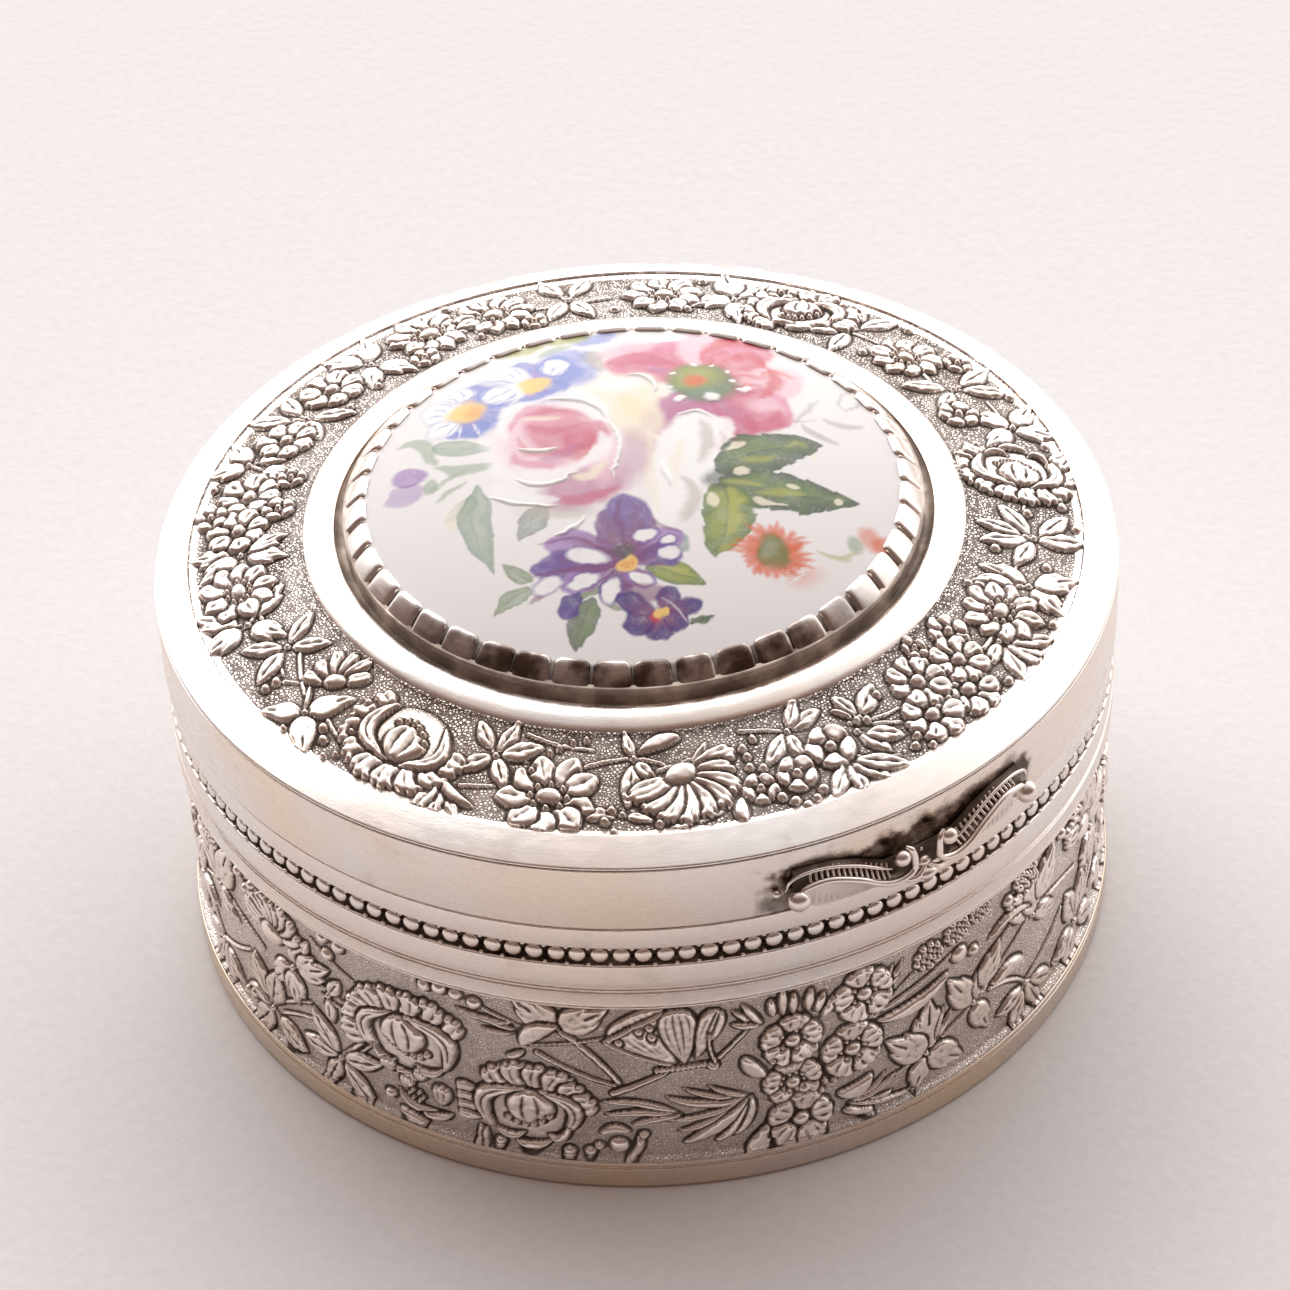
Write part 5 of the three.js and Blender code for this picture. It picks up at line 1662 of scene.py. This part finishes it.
def paint_purple_flowers(enamel):
    """The big violet flower with white flashes on its petals, and a small dark one below."""
    heart = (-0.45, -6.7)
    enamel.petal((-0.5, -6.4), (-0.4, -1.7), 3.1, PLUM, PURPLE, 0.92, 0.7, 0.2, 4.0)
    for tip, width, end in (
            ((2.1, -4.9), 2.1, LILAC), ((2.2, -6.3), 1.7, PURPLE), ((-4.4, -4.9), 2.3, LILAC),
            ((-5.2, -6.9), 2.2, PURPLE), ((-3.6, -8.6), 1.5, LILAC), ((-1.3, -9.7), 1.5, PURPLE),
            ((0.4, -8.6), 1.2, LILAC)):
        enamel.petal(heart, tip, width, PLUM, end, 0.92, 1.5, 0.2, 4.0)
    enamel.petal((-4.9, -6.6), (-0.8, -6.7), 1.6, PURPLE, PLUM, 0.7)
    for place, radii, turn in (
            ((-2.4, -6.2), (1.0, 0.52), -18), ((-2.5, -8.0), (0.85, 0.36), 22),
            ((-1.15, -8.8), (0.42, 0.85), -12), ((0.45, -5.0), (0.55, 0.42), 20),
            ((1.65, -6.35), (0.5, 0.36), 25), ((0.2, -8.0), (0.36, 0.5), 25),
            ((-4.3, -8.1), (0.75, 0.5), 20), ((1.5, -5.5), (0.3, 0.3), 0)):
        enamel.oval(place, (radii[0] + 0.12, radii[1] + 0.12), turn, PURPLE, 0.7, 0.3)
        enamel.oval(place, radii, turn, WHITE, 0.95, 0.35)
    for begin, bend, end, width in (
            ((-0.4, -2.0), (-0.7, -3.4), (-0.5, -5.8), 0.35),
            ((-4.6, -5.2), (-3.0, -5.0), (-1.0, -6.3), 0.3),
            ((-5.1, -7.4), (-3.4, -7.2), (-1.0, -6.9), 0.35),
            ((0.9, -3.8), (1.4, -4.5), (2.1, -4.9), 0.3),
            ((-5.3, -9.0), (-4.9, -8.8), (-4.5, -8.7), 0.3)):
        enamel.stroke(begin, bend, end, width, PLUM, 0.6, 0, 0.15)
    for touch in (
            ((-0.7, -6.05), (0.55, 0.45), 0, BOTTLE, 0.7, 0.7, 0.4),
            ((-0.42, -6.95), (0.6, 0.62), 0, YELLOW, 0.95, 0.3),
            ((-0.42, -6.95), (0.45, 0.42), 0, ORANGE, 0.6, 0.6, 0.4)):
        enamel.oval(*touch)
    enamel.petal((-2.8, -8.6), (-3.6, -10.3), 1.0, VIOLET, PURPLE)
    small = (1.0, -10.3)
    enamel.oval((0.4, -8.9), (1.1, 0.5), -20, PLUM, 0.7, 0.5)
    for tip, width in (
            ((-0.9, -9.3), 1.5), ((-0.6, -11.2), 1.5), ((0.8, -12.0), 1.3), ((2.3, -11.2), 1.3),
            ((3.2, -9.7), 1.1), ((1.7, -8.7), 1.2)):
        enamel.petal(small, tip, width, PLUM, VIOLET, 0.95, 1.6, 0.15, 4.0)
    enamel.oval((0.85, -10.45), (0.28, 0.3), 0, CARMINE, 0.8, 0.5)
    enamel.oval((1.1, -10.3), (0.3, 0.26), 30, YELLOW, 0.95, 0.4)
    enamel.stroke((1.1, -9.4), (1.8, -10.2), (2.3, -10.9), 0.12, WHITE, 0.6)


def paint_orange_flowers(enamel):
    """An orange daisy of dry, stippled strokes round a green heart, and a bud on a stem."""
    heart = (6.6, -6.3)
    count = 26
    for index in range(count):
        angle = 360 * index / count + math.degrees(enamel.random.uniform(-0.1, 0.1))
        tip = np.add(heart, polar(enamel.random.uniform(1.55, 2.2), angle))
        middle = np.add(heart, polar(1.0, angle - math.degrees(0.1)))
        enamel.stroke(heart, middle, tip, 0.42, ORANGE, 0.75, 0, 0.2)
    for touch in (
            ((7.4, -7.4), (1.3, 1.0), -30, ORANGE, 0.4, 1.0, 0.9),
            ((6.6, -6.3), (0.78, 1.12), 10, LEAF, 0.85, 0.35),
            ((6.5, -6.1), (0.4, 0.6), 10, SAGE, 0.5, 0.8)):
        enamel.oval(*touch)
    enamel.stroke((8.8, -6.0), (9.8, -6.6), (10.7, -5.9), 0.34, LIME, 0.6, 0, 0.2)
    for touch in (
            ((10.6, -5.6), (0.4, 0.55), 10, SAGE, 0.75, 0.6),
            ((11.4, -5.1), (0.5, 0.85), 15, ORANGE, 0.6, 0.6),
            ((12.0, -5.4), (0.55, 0.6), 0, ORANGE, 0.65, 0.5)):
        enamel.oval(*touch)


PLAQUE_EDGE_Z = 23.75                   # height of the plaque's outer edge, under the tabs
PLAQUE_GRID = 460                       # points of the painted grid along each side


def plaque_height(radius):
    """The glazed dome, then the shoulder that the bezel tabs hold."""
    shoulder = PLAQUE_RADIUS - 0.62
    shoulder_z = PLAQUE_TOP - 1.4
    dome = PLAQUE_TOP - 0.04 - 1.36 * (np.minimum(radius, shoulder) / shoulder) ** 2.2
    beyond = np.clip((radius - shoulder) / (PLAQUE_RADIUS - shoulder), 0, 1)
    return dome - (shoulder_z - PLAQUE_EDGE_Z) * beyond


def add_plaque():
    """The porcelain plaque. Its top is a fine grid that carries the enamel point by point."""
    count = PLAQUE_GRID
    line = np.linspace(-1, 1, count)
    a, b = np.meshgrid(line, line)
    x, y = PLAQUE_RADIUS * a * np.sqrt(1 - b * b / 2), PLAQUE_RADIUS * b * np.sqrt(1 - a * a / 2)
    enamel = Enamel(x, y, 2 * PLAQUE_RADIUS / count, np.random.default_rng(23))
    for paint in (
            paint_twigs, paint_blue_flowers, paint_anemone, paint_rose, paint_white_bud,
            paint_dark_leaves, paint_orange_flowers, paint_purple_flowers):
        paint(enamel)
    z = plaque_height(np.hypot(x, y)) + enamel.raised.reshape(x.shape)
    points = np.stack([*unturned(x, y, -FRONT), z], 2).reshape(-1, 3)
    index = np.arange(count * count).reshape(count, count)
    border = np.concatenate([index[0], index[1:, -1], index[-1, -2::-1], index[-2:0:-1, 0]])
    low = points[border] * (1, 1, 0) + (0, 0, bottom("porcelain_plaque"))
    under = count * count + np.arange(len(border))
    skirt = np.stack([under, np.roll(under, -1), np.roll(border, -1), border], 1)
    faces = grid_faces(count, count, wrap=False).tolist() + skirt.tolist() + [under[::-1].tolist()]
    piece = new_piece("painted_plaque", np.vstack([points, low]), faces, PORCELAIN, "lid",
                      ["porcelain_plaque"], sharp=0)
    colours = np.ones((len(points) + len(low), 4), np.float32)
    colours[:, :3] = GLAZE_TONE * WHITE_GLAZE
    colours[:len(points), :3] = GLAZE_TONE * np.clip(enamel.colour, 0, 1)
    layer = piece.data.color_attributes.new("paint", "FLOAT_COLOR", "POINT")
    layer.data.foreach_set("color", colours.ravel())
    plaque_uv(piece.data)


def plaque_uv(mesh):
    """The dome seen from above fills the sheet; its edge and underside share a corner of it."""
    place = np.zeros(len(mesh.vertices) * 3, np.float32)
    mesh.vertices.foreach_get("co", place)
    corner = np.zeros(len(mesh.loops), np.int32)
    mesh.loops.foreach_get("vertex_index", corner)
    flat = place.reshape(-1, 3)[corner, :2] / (2 * PLAQUE_RADIUS * MM) + 0.5
    flat[4 * (PLAQUE_GRID - 1) ** 2:] *= 0.08
    layer = mesh.uv_layers.new(name="OFBake")
    layer.data.foreach_set("uv", flat.astype(np.float32).ravel())


# ---------- the thumbpiece ----------
def smooth_path(controls, steps=6):
    """A smooth line through control points."""
    controls = [np.array(control, float) for control in controls]
    controls = [2 * controls[0] - controls[1]] + controls + [2 * controls[-1] - controls[-2]]
    path = []
    for index in range(1, len(controls) - 2):
        before, start, end, after = controls[index - 1:index + 3]
        for t in np.linspace(0, 1, steps, endpoint=False):
            path.append(0.5 * (2 * start + (end - before) * t
                               + (2 * before - 5 * start + 4 * end - after) * t ** 2
                               + (3 * start - before - 3 * end + after) * t ** 3))
    path.append(controls[-2])
    return path


def on_rim(along, z, out):
    """A place on the lid's rim: mm along it from the front, height, and mm out from it."""
    return on_ring(LID_RADIUS + out, along / LID_RADIUS, z)


def rim_axes(along):
    """The directions along the rim, out from it and up."""
    angle = along / LID_RADIUS
    return on_ring(1, angle + math.pi / 2, 0), on_ring(1, angle, 0), np.array((0, 0, 1.0))


# A scroll's two rails, as mm along the rim from its middle, height, and mm out from it.
LOWER_RAIL = ((6.3, 18.9, 0.66), (6.0, 19.3, 0.68), (4.9, 19.5, 0.76), (3.5, 19.05, 0.9),
              (2.4, 18.42, 1.0), (1.5, 18.2, 1.02), (0.75, 18.45, 0.98), (0.68, 19.05, 0.94),
              (0.76, 19.55, 0.86), (1.05, 19.86, 0.74))
UPPER_RAIL = ((6.9, 19.1, 0.34), (6.6, 19.75, 0.38), (5.7, 20.05, 0.42), (4.6, 20.0, 0.5),
              (3.4, 19.65, 0.6), (2.5, 19.2, 0.7), (1.8, 18.85, 0.76))


def rail_at(rail, along):
    """The height of a rail and how far it stands out, where it passes a distance along."""
    outer = sorted(point for point in rail if 1.4 <= point[0] <= 6.4)
    line = [point[0] for point in outer]
    return [float(np.interp(along, line, [point[column] for point in outer]))
            for column in (1, 2)]


def thumb_scroll(shapes, side):
    """One scroll: a ribbed channel between two rails, curled round a ball at its inner end."""
    for rail, thick in ((LOWER_RAIL, 0.18), (UPPER_RAIL, 0.09)):
        path = smooth_path([on_rim(side * along, z, out) for along, z, out in rail])
        ends = [min(1.0, 0.45 + 0.12 * min(index, len(path) - 1 - index))
                for index in range(len(path))]
        shapes.rod(path, [thick * end for end in ends])
    thumb_lip(shapes, side)
    rib_count = 15
    for index in range(rib_count):
        along = 1.95 + 3.8 * index / (rib_count - 1)
        low, out = rail_at(LOWER_RAIL, along)
        low += 0.1
        high = rail_at(UPPER_RAIL, along)[0] - 0.02
        path = [on_rim(side * (along - 0.12 * t), low + (high - low) * t,
                       out - 0.12 + (0.42 - out) * t - 0.16 * math.sin(math.pi * t))
                for t in np.linspace(0, 1, 5)]
        shapes.rod(path, [0.06, 0.085, 0.085, 0.08, 0.05], 8)
    for index in range(13):
        along = 1.9 + 0.31 * index
        low = 17.86 + 0.4 * max(0, (along - 4.8) / 1.4)
        path = [on_rim(side * along, low, 0.42), on_rim(side * along, low + 0.25, 0.47),
                on_rim(side * along, rail_at(LOWER_RAIL, along)[0] - 0.2, 0.56)]
        shapes.rod(path, [0.05, 0.09, 0.06], 8)


def thumb_lip(shapes, side):
    """The lip under one scroll, from its lower rail down to the rim's edge."""
    lip = []
    for along in np.linspace(1.5, 6.3, 17):
        low = 17.74 + 0.9 * max(0, (along - 5.2) / 1.1) ** 2
        middle, out = rail_at(LOWER_RAIL, along)
        section = [(low, 0.03), (low, 0.42), ((low + middle) / 2, 0.34 + 0.3 * out),
                   (middle, out - 0.1), (middle + 0.06, 0.03)]
        lip.append([on_rim(side * along, z, reach_out) for z, reach_out in section])
    shapes.tube(lip)


def thumb_channel(shapes, side):
    """The sunk ground between the rails of one scroll, left dark."""
    rings = []
    for along in np.linspace(1.3, 6.5, 19):
        low, high = rail_at(LOWER_RAIL, along)[0], rail_at(UPPER_RAIL, along)[0]
        section = [(low - 0.05, 0.04), (low - 0.05, 0.4), ((low + high) / 2, 0.26),
                   (high, 0.36), (high + 0.04, 0.04)]
        rings.append([on_rim(side * along, z, out) for z, out in section])
    shapes.tube(rings)


def thumb_ball(shapes, along, z, out, radius):
    sideways, outward, up = rim_axes(along)
    shapes.ball(on_rim(along, z, out), sideways * radius, outward * radius * 0.9, up * radius,
                12, 20)


def thumb_leaf(shapes):
    """The small leaf between the scrolls: two cusps and a lip that stands out at the bottom."""
    for side in (-1, 1):
        path = smooth_path([on_rim(side * along, z, out) for along, z, out in
                            ((1.3, 18.12, 0.72), (0.95, 17.86, 0.86), (0.5, 17.94, 0.95),
                             (0.08, 18.3, 0.86))])
        thickness = np.interp(np.arange(len(path)), (0, 5, 12, len(path) - 1),
                              (0.07, 0.17, 0.2, 0.12))
        shapes.rod(path, thickness)
    sideways, outward, up = rim_axes(0)
    shapes.ball(on_rim(0, 17.86, 0.95), sideways * 0.55, outward * 0.32, up * 0.3, 12, 20)
    shapes.ball(on_rim(0, 18.36, 0.62), sideways * 0.36, outward * 0.32, up * 0.3)
    shapes.ball(on_rim(0, 18.95, 0.42), sideways * 0.1, outward * 0.1, up * 0.1)


def add_thumbpiece():
    """Two mirrored scrolls with a ball at each end and a leaf between, on a dark ground."""
    shapes = Shapes()
    for side in (-1, 1):
        thumb_scroll(shapes, side)
        thumb_ball(shapes, side * 6.4, 18.75, 0.76, 0.56)
        thumb_ball(shapes, side * 1.3, 19.36, 0.86, 0.43)
    thumb_ball(shapes, -7.3, 18.95, 0.2, 0.22)
    thumb_leaf(shapes)
    new_piece("thumbpiece", shapes.points, shapes.faces, CAST, "lid",
              ["thumbpiece"], sharp=50)
    grounds = Shapes()
    for side in (-1, 1):
        thumb_channel(grounds, side)
    section = [(17.78, 0.03), (17.78, 0.4), (18.3, 0.5), (18.7, 0.3), (18.9, 0.03)]
    grounds.tube([[on_rim(along, z, out) for z, out in section]
                  for along in np.linspace(-1.7, 1.7, 9)])
    new_piece("thumbpiece_ground", grounds.points, grounds.faces, DARK, "lid",
              sharp=50)


# ---------- the bezel ----------
TAB_ROOT = np.array((14.40, 23.9))      # a tab's middle line, as radius and height: its root,
TAB_KNEE = np.array((13.94, 24.46))     # the point it bends towards, and its tip
TAB_TIP = np.array((13.38, 24.98))
TAB_RADIUS = 13.9                       # where the tabs' widths are measured
TAB_HALF_WIDTH = 0.93
TAB_THICKNESS = 0.2


def bezel_tab(shapes, angle, half, lean):
    """One tab: a pillow that rises from the collar and folds in over the plaque."""
    columns, rows = 15, 12

    def place(u, v, depth):
        t = v * (1 - 0.13 * abs(u) ** 6)
        middle = (1 - t) ** 2 * TAB_ROOT + 2 * t * (1 - t) * TAB_KNEE + t ** 2 * TAB_TIP
        step = 2 * (1 - t) * (TAB_KNEE - TAB_ROOT) + 2 * t * (TAB_TIP - TAB_KNEE)
        normal = np.array((step[1], -step[0])) / np.linalg.norm(step)
        swell = 0.04 * (1 - u ** 4) * math.sin(math.pi * min(1.0, 0.12 + 0.8 * v))
        swell -= 0.1 * u ** 18 + 0.12 * v ** 18
        radius, z = middle + normal * (swell - depth) * (1 if v > 0.02 else 0.7)
        along = half * u * (1 - 0.04 * v ** 3) + lean * v
        return on_ring(radius, angle + along / TAB_RADIUS, z)

    u_line, v_line = np.linspace(-1, 1, columns), np.linspace(0, 1, rows)
    outer = [place(u, v, 0.0) for v in v_line for u in u_line]
    inner = [place(0.96 * u, v, TAB_THICKNESS) for v in v_line for u in u_line]
    faces = grid_faces(rows, columns, wrap=False)
    index = np.arange(rows * columns).reshape(rows, columns)
    border = np.concatenate([index[0], index[1:, -1], index[-1, -2::-1], index[-2:0:-1, 0]])
    before = np.roll(border, 1)
    sides = np.stack([border, before, before + index.size, border + index.size], 1)
    shapes.add(outer + inner, np.vstack([faces, faces[:, ::-1] + index.size, sides]).tolist())


def add_bezel():
    """The collar, and hand-cut tabs that differ a little in width and lean."""
    low, outer = bottom("bezel"), reach("bezel")
    corners = [(outer - 0.28, low, 0), (outer, low, 0.03), (outer, 24.05, 0.04),
               (outer - 0.28, 24.1, 0.04)]
    # The collar stands in the gutter; its dark colour is oxide and painted shade.
    turned_piece("bezel_collar", corners, GUTTER_OXIDE_AND_SHADE, "lid")
    shapes = Shapes()
    for index in range(TABS):
        angle = 2 * math.pi * (index + 0.5) / TABS + RNG.normal(0, 0.0022)
        half = TAB_HALF_WIDTH + RNG.normal(0, 0.012)
        bezel_tab(shapes, angle, half, RNG.normal(0, 0.035))
    new_piece("bezel_tabs", shapes.points, shapes.faces, TAB_SILVER, "lid",
              ["bezel"], sharp=60)


# ---------- the hinge ----------
def add_hinge():
    """Knuckles with eased ends, a pin with domed ends, and cast silver for the bearers."""
    for node in [name for name in frame["nodes"] if name.startswith("hinge_knuckle")]:
        low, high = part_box(node)[0] / MM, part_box(node)[1] / MM
        radius, bore = (high.z - low.z) / 2, 0.5
        profile = [(low.x, bore), (low.x, radius - 0.12), (low.x + 0.04, radius - 0.03),
                   (low.x + 0.16, radius), (high.x - 0.16, radius),
                   (high.x - 0.04, radius - 0.03), (high.x, radius - 0.12), (high.x, bore),
                   (low.x, bore)]
        add_barrel(node + "_tube", profile, node, "base" if "base" in node else "lid")
    low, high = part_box("hinge_pin")[0] / MM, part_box("hinge_pin")[1] / MM
    radius = (high.z - low.z) / 2
    profile = [(low.x + radius * 0.5 * (1 - math.cos(t)), radius * math.sin(t))
               for t in np.linspace(0.02, math.pi / 2, 7)]
    profile += [(low.x + high.x - x, spoke) for x, spoke in reversed(profile)]
    add_barrel("hinge_pin_rod", profile, "hinge_pin", body_of_node("hinge_pin"))
    for node in ("hinge_bearer_base", "hinge_bearer_lid"):
        bearer = frame["nodes"][node]
        bearer.data.materials.clear()
        bearer.data.materials.append(CAST)


def body_of_node(node):
    for body, empty in frame["bodies"].items():
        if frame["nodes"][node].parent == empty:
            return body
    return "base"


def add_barrel(name, profile, node, body):
    """A piece turned about the hinge's axis from (x, radius) points."""
    turns = np.linspace(0, 2 * math.pi, 48, endpoint=False)
    points = [(x, HINGE.y + spoke * math.cos(turn), HINGE.z + spoke * math.sin(turn))
              for x, spoke in profile for turn in turns]
    faces = grid_faces(len(profile), len(turns)).tolist()
    if profile[0] != profile[-1]:
        faces.append(tuple(reversed(range(len(turns)))))
        faces.append(tuple(range(len(points) - len(turns), len(points))))
    piece = new_piece(name, points, faces, CAST, body, [node])
    weld(piece)


# ---------- camera, light and floor ----------
CAMERA_ELEVATION = 41.18                # degrees above the table
CAMERA_DISTANCE = 240
AIM_HEIGHT = 8.4
CAMERA_LENS = 129.7
CAMERA_NUDGES = (("X", 1.142), ("Y", -0.053), ("Z", -2.995))    # small turns after aiming


def facing_front():
    """The turn from the box's axes to the camera's side of it."""
    return Matrix.Rotation(math.radians(FRONT), 3, "Z")


def add_camera():
    data = bpy.data.cameras.new("camera")
    data.sensor_width = 36.0
    data.lens = CAMERA_LENS
    data.clip_start = 0.01
    data.clip_end = 10.0
    camera = new_object("camera", data)
    elevation = math.radians(CAMERA_ELEVATION)
    back = Vector((0, -math.cos(elevation), math.sin(elevation)))
    look = (-back).to_track_quat("-Z", "Y").to_matrix()
    for axis, degrees in CAMERA_NUDGES:
        look = look @ Matrix.Rotation(math.radians(degrees), 3, axis)
    camera.matrix_world = (facing_front() @ look).to_4x4()
    aim = Vector((0, 0, AIM_HEIGHT))
    camera.location = facing_front() @ (back * CAMERA_DISTANCE + aim) * MM
    bpy.context.scene.camera = camera


def add_floor():
    size = 2.5
    mesh = bpy.data.meshes.new("floor")
    corners = [(-size, -size, 0), (size, -size, 0), (size, size, 0), (-size, size, 0)]
    mesh.from_pydata(corners, [], [(0, 1, 2, 3)])
    mesh.materials.append(paper())
    new_object("floor", mesh)


def glow(look, direction, start, end, strength):
    """Light from one side of the studio: it grows from one angle off a direction to another."""
    toward = facing_front() @ Vector(direction).normalized()
    return look.ramp(look.dot(look.coords("Generated"), toward), 0.0, strength,
                     math.cos(math.radians(start)), math.cos(math.radians(end)))


def add_world():
    """A white tent lit from behind and the left, dark on the camera's side. Directions are
    right, away and up as the camera sees them."""
    world = bpy.data.worlds.new("studio")
    bpy.context.scene.world = world
    world.use_nodes = True
    look = Look(world.node_tree)
    window = glow(look, (-0.3, 0.88, 0.4), 50, 0, 2.7)
    door = glow(look, (0.75, 0.65, 0.35), 50, 0, 1.1)
    ceiling = glow(look, (0.0, 0.45, 0.9), 75, 10, 0.42)
    sides = glow(look, (0.3, 1.0, 0.1), 110, 30, 0.55)
    total = look.maths("ADD", window, door, ceiling, sides, 0.2)
    tint = look.ramp(total, (1.0, 0.66, 0.54), (1.0, 0.995, 1.0))
    look.plug(look.nodes["Background"], {"Color": tint, "Strength": total})


def build_studio():
    add_camera()
    add_floor()
    add_world()
    bpy.context.scene.view_settings.view_transform = "Standard"


def build_base():
    add_bottom_plate()
    add_foot()
    add_side_wall()
    add_upper_band()
    add_mouth_ring()
    add_beads()
    add_liner()


def build_lid():
    add_lid_rim()
    add_lid_top()
    add_lid_border()
    add_frame_ring()
    add_bezel_seat()
    add_lid_lining()
    add_plaque()
    add_bezel()
    add_thumbpiece()
    add_hinge()


build_studio()
build_base()
build_lid()
